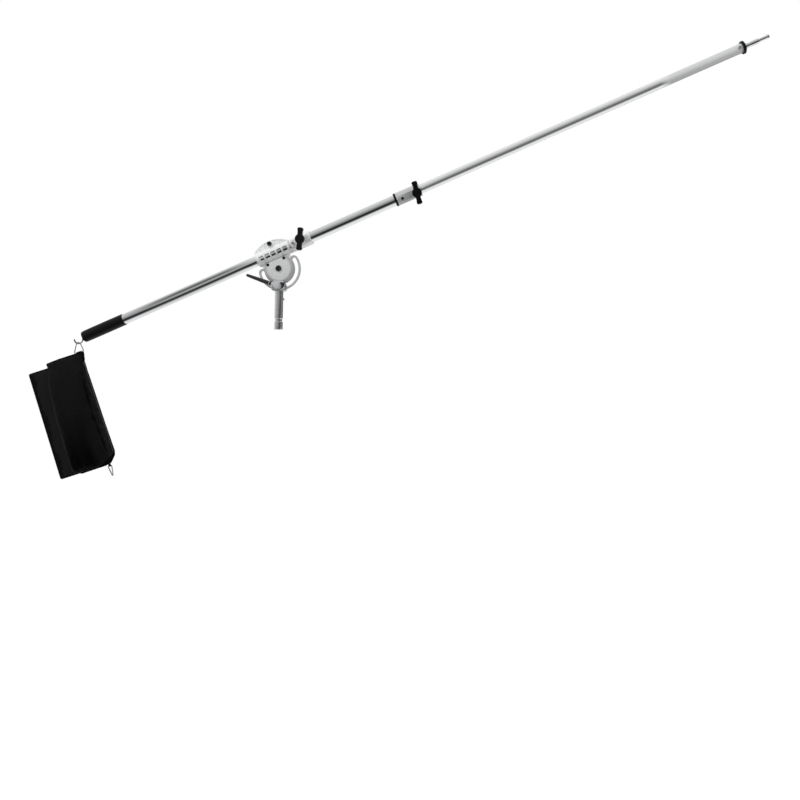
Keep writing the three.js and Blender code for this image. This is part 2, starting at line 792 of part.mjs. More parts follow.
// Pin and yoke, with the pivot and clamp hardware
const clampHeight = pivotHeight - slotRadius;
const frontSeat = -earOuter - fit;
const leverSeat = frontSeat - washerThickness - fit;
const discFace = -plateHalf - fit - discDepth;
piece(model, 'yoke_pin', yokeSolid(), darkSteel);
piece(model, 'pin_set_screw', moved(sideScrewSolid(), [0, 0, sideScrewHeight]), zincWire);
const pivotFrame = frameIn(model, [0, 0, pivotHeight]);
const pivotSeat = discFace + discHeadSink - fit;
const nutSeat = earOuter + fit;
const nutHex = nutHeight * nutHexShare;
const pivotShank = nutSeat + nutHex - pivotSeat;
const pivotBolt = screw(pivotSeat, pivotHeadRadius, pivotHeadHeight, pivotBoltRadius, pivotShank);
piece(pivotFrame, 'pivot_bolt', pivotBolt, blackSteel);
piece(pivotFrame, 'pivot_nut', nutSolid(nutSeat, nutRadius, pivotBoltRadius + fit, nutHeight), zincWire);
const clampFrame = frameIn(model, [0, 0, clampHeight]);
const clampBolt = bar('y', clampBoltRadius, leverSeat - leverBore + fit, nutSeat, smallFacets)
  .add(bar('y', nutRadius, nutSeat, nutSeat + nutHex, hexFacets));
const clampWasher = pipe(
  'y', clampWasherRadius, clampBoltRadius + fit, frontSeat - washerThickness, frontSeat,
);
piece(clampFrame, 'clamp_bolt', clampBolt, zincWire);
piece(clampFrame, 'clamp_washer', clampWasher, zincWire);
piece(clampFrame, 'tilt_lever', leverSolid(leverSeat), darkSteel);

// Tilting head
const headFrame = frameIn(model, [0, 0, pivotHeight], [0, -boomTilt, 0]);
headFrame.name = 'head_frame';
piece(headFrame, 'head_casting', headSolid(), castAluminium);
piece(headFrame, 'pivot_disc', discSolid(), discMetal);
const discScrew = screw(
  discFace + smallHeadHeight - fit, smallHeadRadius, smallHeadHeight, smallShankRadius, smallShankLength,
);
for (const [name, side] of [['disc_screw_rear', -1], ['disc_screw_front', 1]]) {
  piece(headFrame, name, moved(discScrew, [side * discScrewSpread, 0, discScrewHeight]), blackSteel);
}
const fanSeat = -fanDepth / 2 - fit;
const fanShank = fanDepth + 2 * fit + fanNutHeight / 2;
const fanPlace = [0, 0, fanBossHeight];
const fanScrew = screw(fanSeat, fanScrewHead, fanScrewHeadHeight, fanScrewShank, fanShank);
const fanNut = nutSolid(-fanSeat, fanScrewHead, fanScrewShank + fit, fanNutHeight);
piece(headFrame, 'fan_screw', moved(fanScrew, fanPlace), blackSteel);
piece(headFrame, 'fan_nut', moved(fanNut, fanPlace), zincWire);

// Everything on the boom axis
const boomFrame = frameIn(headFrame, [0, 0, boomOffset]);
boomFrame.name = 'boom_frame';
piece(boomFrame, 'brake_collar', brakeSolid(), castAluminium);
const bossStand = collarPadHeight + smallBossHeight;
const collarShank = bossStand + smallShankPast;
const brakeScrew = screw(
  -brakeRadius - bossStand - fit, smallHeadRadius, smallHeadHeight, smallShankRadius, collarShank,
);
piece(boomFrame, 'brake_collar_screw', moved(brakeScrew, [brakeStart + brakeScrewPlace, 0, 0]), blackSteel);
const bushes = [['sleeve_bush_rear', -sleeveRear], ['sleeve_bush_front', brakeEnd - bushLength]];
for (const [name, start] of bushes) {
  piece(boomFrame, name, pipe('x', bushOuter, tubeBore, start, start + bushLength), paleNylon);
}
const headKnobSeat = brakeRadius + knobBossHeight + knobGap;
const headKnobFrame = frameIn(boomFrame, [brakeStart + brakeKnobPlace, 0, 0]);
headKnobFrame.name = 'head_knob_frame';
piece(headKnobFrame, 'brake_knob_screw', knobScrewSolid(outerRadius, headKnobSeat), zincWire);
const headKnobTurned = frameIn(headKnobFrame, [0, -headKnobSeat, 0], [0, -headKnobTurn, 0]);
piece(headKnobTurned, 'brake_knob', knobSolid(), blackPlastic);

// Outer tube with its grip, plug, hook and front collar
const outerBore = outerRadius - tubeWall;
piece(boomFrame, 'outer_tube', pipe('x', outerRadius, outerBore, tubeRear, outerTubeEnd), chrome);
const gripRadius = outerRadius + fit + gripWall;
const gripRear = fit - boomRear;
const gripFront = gripLength - boomRear;
piece(boomFrame, 'grip_sleeve', turned('x', [
  [outerRadius + fit, gripRear], [gripRadius - fineEdge, gripRear], [gripRadius, gripRear + fineEdge],
  [gripRadius, gripFront - fineEdge], [gripRadius - fineEdge, gripFront], [outerRadius + fit, gripFront],
]), blackRubber);
const plugRadius = outerBore - fit;
piece(boomFrame, 'grip_end_plug', turned('x', [
  [0, -boomRear], [outerRadius - broadEdge, -boomRear], [outerRadius, broadEdge - boomRear],
  [outerRadius, gripLip - boomRear], [plugRadius, gripLip - boomRear], [plugRadius, plugDepth - boomRear],
  [0, plugDepth - boomRear],
]).subtract(bar('x', hookWire + fit, -boomRear - overrun, hookShank + gripRear, smallFacets)), blackPlastic);

// World directions seen from the tilted boom frame
const tilt = radians(boomTilt);
const worldUp = new THREE.Vector3(Math.sin(tilt), 0, Math.cos(tilt));
const worldRight = new THREE.Vector3(Math.cos(tilt), 0, -Math.sin(tilt));

// A point given by its distances to the right, to the back and up from the grip end
function fromGripEnd(right, back, up) {
  return new THREE.Vector3(-boomRear, back, 0).addScaledVector(worldRight, right).addScaledVector(worldUp, up);
}

// The upright open hook on the end plug
function hookSolid() {
  const yaw = radians(hookYaw);
  const points = [
    new THREE.Vector3(hookShank - boomRear, 0, 0), new THREE.Vector3(-boomRear, 0, 0),
    new THREE.Vector3(-boomRear - 2 * hookWire, 0, 0),
  ];
  for (let i = 0; i <= hookPoints; i += 1) {
    const turn = radians(hookStart - (hookSweep * i) / hookPoints);
    const out = hookRadius * Math.cos(turn);
    const up = hookRadius * Math.sin(turn) - hookDrop;
    points.push(fromGripEnd(out * Math.cos(yaw) - hookSet, out * Math.sin(yaw), up));
  }
  const section = new THREE.Shape();
  for (let k = 0; k < wireFacets; k += 1) {
    const turn = (2 * Math.PI * k) / wireFacets;
    const corner = [hookWire * Math.cos(turn), hookWire * Math.sin(turn)];
    if (k === 0) section.moveTo(...corner);
    else section.lineTo(...corner);
  }
  section.closePath();
  const path = new THREE.CatmullRomCurve3(points);
  return solidOf(new THREE.ExtrudeGeometry(section, { steps: hookSteps, extrudePath: path }));
}
piece(boomFrame, 'weight_hook', hookSolid(), zincWire);

const collarFrame = frameIn(boomFrame, [collarStart, 0, 0], [collarRoll, 0, 0]);
piece(collarFrame, 'front_collar', frontCollarSolid(), castAluminium);
piece(collarFrame, 'collar_ring', turned('x', [
  [outerRadius + fit, 0], [ringRadius - softEdge, 0], [ringRadius, softEdge],
  [ringRadius, ringWidth - softEdge], [ringRadius - softEdge, ringWidth], [outerRadius + fit, ringWidth],
]), blackRubber);
const collarScrew = screw(
  -collarRadius - bossStand - fit, smallHeadRadius, smallHeadHeight, smallShankRadius, collarShank,
);
piece(collarFrame, 'collar_screw', moved(collarScrew, [collarScrewPlace, 0, 0]), blackSteel);
const collarKnobSeat = collarRadius + knobBossHeight + knobGap;
const collarKnobFrame = frameIn(collarFrame, [collarKnobPlace, 0, 0]);
collarKnobFrame.name = 'collar_knob_frame';
piece(collarKnobFrame, 'collar_knob_screw', knobScrewSolid(innerRadius, collarKnobSeat), zincWire);
const collarKnobTurned = frameIn(collarKnobFrame, [0, -collarKnobSeat, 0], [0, -collarKnobTurn, 0]);
piece(collarKnobTurned, 'collar_knob', knobSolid(), blackPlastic);

// Inner tube with its bush, rear plug, tip ring and lamp stud
const innerBore = innerRadius - tubeWall;
const innerEnd = tipStart + tipRingWidth;
const bushStart = outerTubeEnd + fit;
const bushEnd = collarStart + collarKnobPlace - bushFromKnob;
piece(boomFrame, 'telescope_bush', pipe('x', outerRadius, innerRadius + fit, bushStart, bushEnd), paleNylon);
const tipPlace = [innerEnd - tipScrewPlace, 0, 0];
const tipHole = bar('y', smallShankRadius + fit, -innerRadius - overrun, 0, smallFacets);
piece(boomFrame, 'inner_tube', pipe('x', innerRadius, innerBore, innerRear, innerEnd)
  .subtract(moved(tipHole, tipPlace)), chrome);
const flangeRear = innerRear - fit - rearPlugFlange;
const plugFront = innerRear + rearPlugDepth;
piece(boomFrame, 'inner_rear_plug', turned('x', [
  [0, flangeRear], [plugRadius - fineEdge, flangeRear], [plugRadius, flangeRear + fineEdge],
  [plugRadius, innerRear - fit], [innerBore - fit, innerRear - fit], [innerBore - fit, plugFront],
  [0, plugFront],
]), paleNylon);
piece(boomFrame, 'tip_ring', turned('x', [
  [innerRadius + fit, tipStart], [tipRingRadius - softEdge, tipStart], [tipRingRadius, tipStart + softEdge],
  [tipRingRadius, innerEnd - softEdge], [tipRingRadius - softEdge, innerEnd], [innerRadius + fit, innerEnd],
]), blackRubber);
const studStart = innerEnd + fit;
const studFlange = studStart + studFlangeThickness;
const studEnd = studFlange + studLength;
const grooveStart = studFlange + studGroovePlace;
const tipEnd = studEnd + tipPinLength;
const stud = turned('x', [
  [0, innerEnd - studPlug], [innerBore - fit, innerEnd - studPlug], [innerBore - fit, studStart],
  [innerRadius, studStart], [innerRadius, studFlange - fineEdge], [innerRadius - fineEdge, studFlange],
  [studRadius, studFlange], [studRadius, grooveStart], [studGrooveRadius, grooveStart + softEdge],
  [studGrooveRadius, grooveStart + studGroove], [studRadius, grooveStart + studGroove + softEdge],
  [studRadius, studEnd - softEdge], [studRadius - softEdge, studEnd], [tipPinRadius, studEnd],
  [tipPinRadius, tipEnd - tipHeadLength], [tipHeadRadius, tipEnd - tipHeadLength + fineEdge],
  [tipHeadRadius, tipEnd - softEdge], [tipHeadRadius - softEdge, tipEnd], [0, tipEnd],
]);
const studHoleEnd = smallShankLength + broadEdge - innerRadius;
const studHole = bar('y', smallShankRadius + fit, -innerRadius - overrun, studHoleEnd, smallFacets);
piece(boomFrame, 'lamp_stud', stud.subtract(moved(studHole, tipPlace)), chrome);
piece(boomFrame, 'tip_screw', moved(
  screw(-innerRadius - fit, smallHeadRadius, smallHeadHeight, smallShankRadius, smallShankLength),
  tipPlace,
), zincWire);

// Counterweight bag, hung by its wire ring in the hook
const ringSeat = hookDrop + hookRadius - hookWire - ringWire - fit;
const seat = fromGripEnd(-hookSet, 0, -ringSeat);
const bagFrame = frameIn(boomFrame, seat.toArray(), [0, boomTilt - bagHang, 0]);
bagFrame.name = 'bag_frame';
const ringLeft = -ringBase * ringApexShare;
const ringCorners = [
  new THREE.Vector2(0, 0), new THREE.Vector2(ringLeft, -ringHeight),
  new THREE.Vector2(ringLeft + ringBase, -ringHeight),
];
const apex = cornerCentre(ringCorners, 0, ringApexRadius);
const hang = radians(bagHang);
const swing = new THREE.Vector2(-Math.sin(hang), -Math.cos(hang)).multiplyScalar(ringApexRadius);
frameIn(bagFrame, [swing.x, 0, swing.y]).name = 'swing_frame';
const shift = swing.clone().sub(apex);
const ringRadii = [ringApexRadius, ringCorner, ringCorner];
const ringPoints = roundedCorners(ringCorners.map((c) => c.add(shift)), ringRadii, ringSteps);
piece(bagFrame, 'bag_ring', wireLoop(ringPoints, ringWire), zincWire);

// A webbing loop round a bar along X: its tail runs down to the given height
function webbingSolid(width, tailTop, tailEnd) {
  const tail = new THREE.Shape();
  const low = Math.min(tailTop, tailEnd);
  const high = Math.max(tailTop, tailEnd);
  tail.moveTo(-width / 2, low);
  tail.lineTo(width / 2, low);
  tail.lineTo(width / 2, high);
  tail.lineTo(-width / 2, high);
  tail.closePath();
  const bore = ringWire + fit;
  return bar('x', bore + webbing, -width / 2, width / 2, smallFacets)
    .add(slab(tail, -webbing, webbing))
    .subtract(bar('x', bore, -width / 2 - overrun, width / 2 + overrun, smallFacets));
}
const bagTop = -bagDrop;
const bagBottom = bagTop - bagHeight;
const barHeight = ringCorners[1].y;
const barMiddle = (ringCorners[1].x + ringCorners[2].x) / 2;
const barFrame = frameIn(bagFrame, [barMiddle, 0, barHeight]);
barFrame.name = 'bar_frame';
piece(barFrame, 'bag_hanging_loop', webbingSolid(tabWidth, 0, bagTop + fit - barHeight), blackCordura);
const frontMiddle = [bagRight - bagWidth / 2, pouchPlane - fit, bagTop - bagHeight / 2];
const frontSolid = pouchSolid(bagWidth, frontPouch, bagHeight, pouchSeam);
piece(bagFrame, 'bag_front_pouch', moved(frontSolid, frontMiddle), blackCordura);
const rearWidth = rearLeft + bagRight;
const rearUp = bagTop - rearDrop - rearHeight / 2;
const rearMiddle = [bagRight - rearWidth / 2, pouchPlane, rearUp];
const rearSolid = pouchSolid(rearWidth, rearPouch, rearHeight, rearSeam);
piece(bagFrame, 'bag_rear_pouch', moved(rearSolid, rearMiddle, [0, 0, halfTurn]), blackCordura);
const gussetDepth = pouchSeam + rearSeam;
const gussetMiddle = [bagRight + fit, pouchPlane + rearSeam - gussetDepth / 2, rearUp];
const gussetSolid = pouchSolid(gussetDepth, zipWidth, rearHeight - zipInset, zipThickness);
piece(bagFrame, 'bag_zip_gusset', moved(gussetSolid, gussetMiddle, [0, 0, 90]), blackCordura);
const pullBar = [bagRight - pullPlace, pouchPlane - pouchSeam / 2, bagBottom - lowerDrop];
const pullFrame = frameIn(bagFrame, pullBar, [0, 0, 90]);
pullFrame.name = 'pull_frame';
piece(pullFrame, 'bag_lower_loop', webbingSolid(lowerTab, 0, lowerDrop - fit), blackCordura);
const pullCorners = [
  new THREE.Vector2(-pullBase / 2, 0), new THREE.Vector2(pullBase / 2, 0), new THREE.Vector2(0, -pullHeight),
];
const pullPoints = roundedCorners(pullCorners, pullCorners.map(() => ringCorner), pullSteps);
piece(pullFrame, 'bag_pull_ring', wireLoop(pullPoints, ringWire), zincWire);

export default model;
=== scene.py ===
import math

import bmesh
import bpy
import numpy as np
from mathutils import Matrix, Vector


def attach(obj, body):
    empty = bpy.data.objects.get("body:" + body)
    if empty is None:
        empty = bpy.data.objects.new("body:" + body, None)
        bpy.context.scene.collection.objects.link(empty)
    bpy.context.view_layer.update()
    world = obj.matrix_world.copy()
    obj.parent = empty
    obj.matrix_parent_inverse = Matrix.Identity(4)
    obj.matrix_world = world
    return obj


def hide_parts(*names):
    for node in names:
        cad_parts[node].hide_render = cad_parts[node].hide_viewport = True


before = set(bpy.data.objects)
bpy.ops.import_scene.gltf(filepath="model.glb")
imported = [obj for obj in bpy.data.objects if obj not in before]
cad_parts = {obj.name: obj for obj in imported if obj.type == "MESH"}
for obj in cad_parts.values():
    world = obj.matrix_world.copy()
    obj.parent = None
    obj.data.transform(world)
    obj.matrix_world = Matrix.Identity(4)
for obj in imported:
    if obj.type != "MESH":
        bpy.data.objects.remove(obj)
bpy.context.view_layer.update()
scene = bpy.context.scene
MM = 0.001


# Places: frames of the arm, in millimetres


class Place:
    """A frame on the arm: a point and a turn, both seen from the world."""

    def __init__(self, origin=(0.0, 0.0, 0.0), turn=np.eye(3)):
        self.origin, self.turn = np.asarray(origin, float), np.asarray(turn, float)

    def child(self, origin, axis=0, degrees=0.0):
        """A frame placed in this one and turned in it about its own axis 0, 1 or 2."""
        c, s = math.cos(math.radians(degrees)), math.sin(math.radians(degrees))
        turn = np.eye(3)
        i, j = (axis + 1) % 3, (axis + 2) % 3
        turn[i, i], turn[i, j], turn[j, i], turn[j, j] = c, -s, s, c
        return Place(self.origin + self.turn @ np.asarray(origin, float), self.turn @ turn)

    def world(self, points):
        """Points of this frame in millimetres, as world points in metres."""
        return (np.asarray(points, float) @ self.turn.T + self.origin) * MM


BOOM_TILT, BAG_HANG, LEVER_RISE = 24, 18.5, 18.5
PIVOT_HEIGHT, SLOT_RADIUS, BOOM_OFFSET = 205, 60.5, 55.5
CLAMP_HEIGHT = PIVOT_HEIGHT - SLOT_RADIUS
BRAKE_START, BRAKE_KNOB, BRAKE_SCREW = 67.5, 42, 12
COLLAR_START, COLLAR_KNOB, COLLAR_SCREW = 448, 77, 26
BOOM_REAR, GRIP_LENGTH, TUBE_FRONT = 732, 160, 484
TUBE_RADIUS, INNER_RADIUS = 17.5, 15
INNER_REAR, TIP_START, INNER_END = 420, 1643, 1651
PIN = Place()
PIVOT = PIN.child((0, 0, PIVOT_HEIGHT))
CLAMP = PIN.child((0, 0, CLAMP_HEIGHT))
HEAD = PIVOT.child((0, 0, 0), 1, -BOOM_TILT)
BOOM = HEAD.child((0, 0, BOOM_OFFSET))
BRAKE = BOOM.child((BRAKE_START + BRAKE_KNOB, 0, 0))
COLLAR = BOOM.child((COLLAR_START, 0, 0), 0, 20)
COLLAR_HUB = COLLAR.child((COLLAR_KNOB, 0, 0))
HOOK_RADIUS, HOOK_SET, HOOK_DROP, HOOK_YAW = 14, 19, 9, 42
HOOK_WIRE, RING_WIRE = 2, 1.6
TILT = math.radians(BOOM_TILT)
WORLD_UP = np.array([math.sin(TILT), 0, math.cos(TILT)])
WORLD_RIGHT = np.array([math.cos(TILT), 0, -math.sin(TILT)])


def from_grip(right, back, up):
    """Points of the boom frame, given by their way right, back and up from the grip's end."""
    right, back, up = (np.atleast_1d(np.asarray(v, float)) for v in (right, back, up))
    back_way = np.array([0, 1, 0])
    ways = right[:, None] * WORLD_RIGHT + back[:, None] * back_way + up[:, None] * WORLD_UP
    return ways - (BOOM_REAR, 0, 0)


BAG = BOOM.child(from_grip(-HOOK_SET, 0, -(HOOK_DROP + HOOK_RADIUS - HOOK_WIRE - RING_WIRE - 0.3))[0], 1,
                 BOOM_TILT - BAG_HANG)


# Surfaces: grids of points turned into closed patches


def around(count):
    """Angles spread evenly over one full turn."""
    return np.linspace(0, 2 * math.pi, count, endpoint=False)


def woven(grid, around_rows=False, around_columns=False, capped=False):
    """A grid of points as four-cornered faces, closed round in either direction, with a face over each open end."""
    rows, columns = grid.shape[:2]
    index = np.arange(rows * columns).reshape(rows, columns)
    if around_rows:
        index = np.vstack([index, index[:1]])
    if around_columns:
        index = np.hstack([index, index[:, :1]])
    quads = np.stack([index[:-1, :-1], index[1:, :-1], index[1:, 1:], index[:-1, 1:]], -1).reshape(-1, 4)
    faces = [quads]
    if capped:
        loop = np.arange(columns)
        faces += [loop[None, :], (loop[::-1] + (rows - 1) * columns)[None, :]]
    return grid.reshape(-1, 3), faces


def enclosed(points, faces):
    """Six times the volume inside the faces: each is fanned from its first corner and the triple products add up."""
    points = points - points.mean(0)
    total = 0.0
    for block in faces:
        for k in range(1, block.shape[1] - 1):
            total += np.einsum("ij,ij->", points[block[:, 0]], np.cross(points[block[:, k]], points[block[:, k + 1]]))
    return total


def new_object(name, data):
    """An object of the scene with this data."""
    made = bpy.data.objects.new(name, data)
    scene.collection.objects.link(made)
    return made


def new_mesh(name, points, faces):
    """A mesh of points and blocks of faces. Each block has its own number of corners."""
    mesh = bpy.data.meshes.new(name)
    mesh.from_pydata(points.tolist(), [], [row for block in faces for row in block.tolist()])
    return mesh


class Form:
    """The patches of one piece, gathered in world metres, each turned so that its faces look outwards."""

    def __init__(self, place=PIN):
        self.place, self.points, self.faces, self.marks, self.count = place, [], [], [], 0

    def add(self, patch, place=None, mark=0):
        points, faces = patch
        points = (place or self.place).world(points)
        if enclosed(points, faces) < 0:
            faces = [block[:, ::-1] for block in faces]
        for block in faces:
            self.faces.append(block + self.count)
            self.marks.append(np.full(len(block), mark))
        self.points.append(points)
        self.count += len(points)
        return self

    def build(self, name, finish, body, stands_for, slot, sharp=38):
        """The mesh object of this piece, riding on its body in place of the solid it stands for. Points that
        coincide, such as those of a pole or a seam, become one."""
        mesh = new_mesh(name, np.vstack(self.points), self.faces)
        for look in finish if isinstance(finish, list) else [finish]:
            mesh.materials.append(look)
        mesh.polygons.foreach_set("material_index", np.concatenate(self.marks).astype(np.int32))
        work = bmesh.new()
        work.from_mesh(mesh)
        bmesh.ops.remove_doubles(work, verts=work.verts, dist=1e-6)
        bmesh.ops.dissolve_degenerate(work, edges=work.edges, dist=1e-7)
        work.to_mesh(mesh)
        work.free()
        mesh.shade_smooth()
        mesh.set_sharp_from_angle(angle=math.radians(sharp))
        piece = new_object(name, mesh)
        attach(piece, body)
        if stands_for:
            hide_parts(stands_for)
        return piece


def rounded(corners, radius, steps=5, closed=False):
    """A line of corners in a plane, each replaced by an arc that touches both of its sides."""
    corners = np.asarray(corners, float)
    radius = np.broadcast_to(np.asarray(radius, float), len(corners))
    before, after = np.roll(corners, 1, 0) - corners, np.roll(corners, -1, 0) - corners
    lengths = np.minimum(np.linalg.norm(before, axis=1), np.linalg.norm(after, axis=1))
    before /= np.maximum(np.linalg.norm(before, axis=1), 1e-9)[:, None]
    after /= np.maximum(np.linalg.norm(after, axis=1), 1e-9)[:, None]
    half = np.arccos(np.clip((before * after).sum(1), -1, 1)) / 2
    reach = np.minimum(radius / np.maximum(np.tan(half), 1e-6), 0.49 * lengths)
    size = reach * np.tan(half)
    middle = before + after
    middle /= np.maximum(np.linalg.norm(middle, axis=1), 1e-9)[:, None]
    centre = corners + middle * (size / np.maximum(np.sin(half), 1e-6))[:, None]
    start = corners + before * reach[:, None] - centre
    bend = before[:, 0] * after[:, 1] - before[:, 1] * after[:, 0]
    angle = -np.sign(bend)[:, None] * (math.pi - 2 * half)[:, None] * np.linspace(0, 1, steps + 1)
    c, s = np.cos(angle), np.sin(angle)
    arcs = centre[:, None] + np.stack([start[:, :1] * c - start[:, 1:] * s, start[:, :1] * s + start[:, 1:] * c], -1)
    if closed:
        return arcs.reshape(-1, 2)
    return np.vstack([corners[:1], arcs[1:-1].reshape(-1, 2), corners[-1:]])


def box(left, low, right, high, corner, steps=3):
    """The outline of a rectangle with rounded corners."""
    return rounded([(left, low), (right, low), (right, high), (left, high)], corner, steps, closed=True)


def turned(profile, axis=0, sides=96):
    """A profile of (station, radius) carried once round an axis. A third number of 1 gives its ring six flats, from
    the radius of a regular hexagon at each angle."""
    profile = np.array([tuple(row) + (0,) * (3 - len(row)) for row in profile], float)
    angles, sector = around(sides), math.pi / 3
    hexagon = math.cos(sector / 2) / np.cos((angles % sector) - sector / 2)
    radii = profile[:, 1:2] * (1 - profile[:, 2:] * (1 - hexagon))
    grid = np.zeros((len(profile), sides, 3))
    grid[..., axis] = profile[:, :1]
    grid[..., (axis + 1) % 3], grid[..., (axis + 2) % 3] = radii * np.cos(angles), radii * np.sin(angles)
    return woven(grid, around_rows=profile[0, 1] > 0 and profile[-1, 1] > 0, around_columns=True)


def shaft(corners, radius=0.6, axis=0, sides=96):
    """A turned piece whose profile's corners are rounded; it starts and ends on the axis."""
    return turned(rounded(corners, radius, 4), axis, sides)


def ring(start, end, bore, radius, inner=0.3, outer=0.3, axis=0, sides=128):
    """A turned ring with its own rounding inside and outside."""
    corners = [(start, bore), (start, radius), (end, radius), (end, bore)]
    return turned(rounded(corners, [inner, outer, outer, inner], 4, closed=True), axis, sides)


def inset(outline, depth):
    """An outline moved inwards, each point along the middle of its two neighbouring edges' normals."""
    along = np.roll(outline, -1, 0) - np.roll(outline, 1, 0)
    along /= np.maximum(np.linalg.norm(along, axis=1), 1e-9)[:, None]
    x, z = outline.T
    area = (x * np.roll(z, -1) - np.roll(x, -1) * z).sum()
    inward = np.stack([-along[:, 1], along[:, 0]], 1) * np.sign(area)
    return outline + inward * depth


def pressed(outline, front, back, edge=1.0, steps=4):
    """An outline in X and Z with a thickness along Y; its rims are quarter rounds, made by insetting it in steps."""
    quarter = np.linspace(0, math.pi / 2, steps + 1)
    insets = edge * (1 - np.sin(quarter))
    depths = edge * (1 - np.cos(quarter))
    rows = [(front + d, i) for d, i in zip(depths, insets)]
    rows += [(back - d, i) for d, i in zip(depths[::-1], insets[::-1])]
    grid = np.zeros((len(rows), len(outline), 3))
    for k, (station, depth) in enumerate(rows):
        moved = inset(outline, depth)
        grid[k, :, 0], grid[k, :, 1], grid[k, :, 2] = moved[:, 0], station, moved[:, 1]
    return woven(grid, around_columns=True, capped=True)


def arc(centre, radius, start, end, count=24):
    """Points on a circle in a plane between two angles in degrees."""
    angles = np.radians(np.linspace(start, end, count))
    return np.stack([centre[0] + radius * np.cos(angles), centre[1] + radius * np.sin(angles)], 1)


def swept(path, section, side, closed=False, taper=None):
    """A section carried along a path: each copy stands square to the path, with its first axis towards the side."""
    path = np.asarray(path, float)
    ahead = np.roll(path, -1, 0) - np.roll(path, 1, 0) if closed else np.gradient(path, axis=0)
    ahead /= np.linalg.norm(ahead, axis=1)[:, None]
    side = np.broadcast_to(np.asarray(side, float), path.shape)
    across = side - (side * ahead).sum(1)[:, None] * ahead
    across /= np.linalg.norm(across, axis=1)[:, None]
    other = np.cross(ahead, across)
    size = np.ones(len(path)) if taper is None else np.asarray(taper, float)
    section = np.asarray(section, float)
    grid = path[:, None] + size[:, None, None] * (
        section[None, :, :1] * across[:, None] + section[None, :, 1:] * other[:, None])
    return woven(grid, around_rows=closed, around_columns=True, capped=not closed)


def circle(radius, sides=16):
    """A round section."""
    angles = around(sides)
    return radius * np.stack([np.cos(angles), np.sin(angles)], 1)


def strip(width, thickness, corner=0.5, steps=3):
    """A flat section with rounded corners."""
    return box(-width / 2, -thickness / 2, width / 2, thickness / 2, corner, steps)


def smoothed(points, steps=6):
    """A smooth line through points: between two of them, a cubic that takes its slope from their neighbours."""
    points = np.asarray(points, float)
    padded = np.vstack([2 * points[0] - points[1], points, 2 * points[-1] - points[-2]])
    t = np.linspace(0, 1, steps, endpoint=False)[None, :, None]
    a, b, c, d = (padded[i:len(padded) - 3 + i, None] for i in range(4))
    line = 0.5 * (2 * b + (c - a) * t + (2 * a - 5 * b + 4 * c - d) * t ** 2 + (3 * b - a - 3 * c + d) * t ** 3)
    return np.vstack([line.reshape(-1, points.shape[1]), points[-1:]])


def ease(value, low, high):
    """Zero below low, one above high, and a smooth climb between."""
    t = np.clip((value - low) / (high - low), 0, 1)
    return t * t * (3 - 2 * t)


def bump(distance, width):
    """A soft bell: one in its middle, falling off over its width."""
    return np.exp(-(distance / width) ** 2)


# Finishes: materials made of nodes


class Value:
    """A shader socket that takes part in sums and products like a number."""

    def __init__(self, look, socket):
        self.look, self.socket = look, socket

    def __add__(self, other):
        return self.look.math("ADD", self, other)

    def __sub__(self, other):
        return self.look.math("SUBTRACT", self, other)

    def __rsub__(self, other):
        return self.look.math("SUBTRACT", other, self)

    def __mul__(self, other):
        return self.look.math("MULTIPLY", self, other)

    __radd__, __rmul__ = __add__, __mul__


class Nodes:
    """The nodes of one tree."""

    def __init__(self, tree):
        self.tree = tree

    def node(self, kind, inputs=None, output=0, **settings):
        """A node of any kind: its settings first, then the values or links of its sockets."""
        node = self.tree.nodes.new(kind)
        for key, value in settings.items():
            setattr(node, key, value)
        for key, value in (inputs or {}).items():
            self.feed(node.inputs[key], value)
        return Value(self, node.outputs[output])

    def feed(self, socket, value):
        if isinstance(value, Value):
            self.tree.links.new(value.socket, socket)
        else:
            socket.default_value = value

    def math(self, operation, *values):
        return self.node("ShaderNodeMath", dict(enumerate(values)), operation=operation)

    def position(self, place=PIN, scale=(1, 1, 1)):
        """Object coordinates seen from a frame of the arm, in millimetres divided by the scale."""
        turn = Matrix(place.turn.tolist()).to_euler()
        return self.node("ShaderNodeMapping", {
            "Vector": self.node("ShaderNodeTexCoord", output=3), "Location": (place.origin * MM).tolist(),
            "Rotation": list(turn), "Scale": [MM * s for s in scale]}, vector_type="TEXTURE")

    def parts(self, vector):
        """The three numbers of a vector."""
        node = self.tree.nodes.new("ShaderNodeSeparateXYZ")
        self.feed(node.inputs[0], vector)
        return [Value(self, socket) for socket in node.outputs]

    def noise(self, vector, scale=1.0, detail=2.0, roughness=0.5):
        return self.node("ShaderNodeTexNoise", {
            "Vector": vector, "Scale": scale, "Detail": detail, "Roughness": roughness})

    def ramp(self, value, stops):
        """Grey tones at their places along a value, blended in between."""
        node = self.tree.nodes.new("ShaderNodeValToRGB")
        elements = node.color_ramp.elements
        while len(elements) < len(stops):
            elements.new(0.5)
        for element, (position, tone) in zip(elements, stops):
            element.position = position
            element.color = (tone, tone, tone, 1)
        self.feed(node.inputs[0], value)
        return Value(self, node.outputs[0])

    def level(self, value, low, high):
        """How far a value is from the first limit to the second, from zero to one."""
        return self.node("ShaderNodeMapRange", {0: value, 1: low, 2: high}, clamp=True)

    def mix(self, share, first, second):
        """Two colours mixed by a share."""
        first, second = ((*c, 1) if isinstance(c, tuple) else c for c in (first, second))
        return self.node("ShaderNodeMix", {0: share, 6: first, 7: second}, 2, data_type="RGBA")


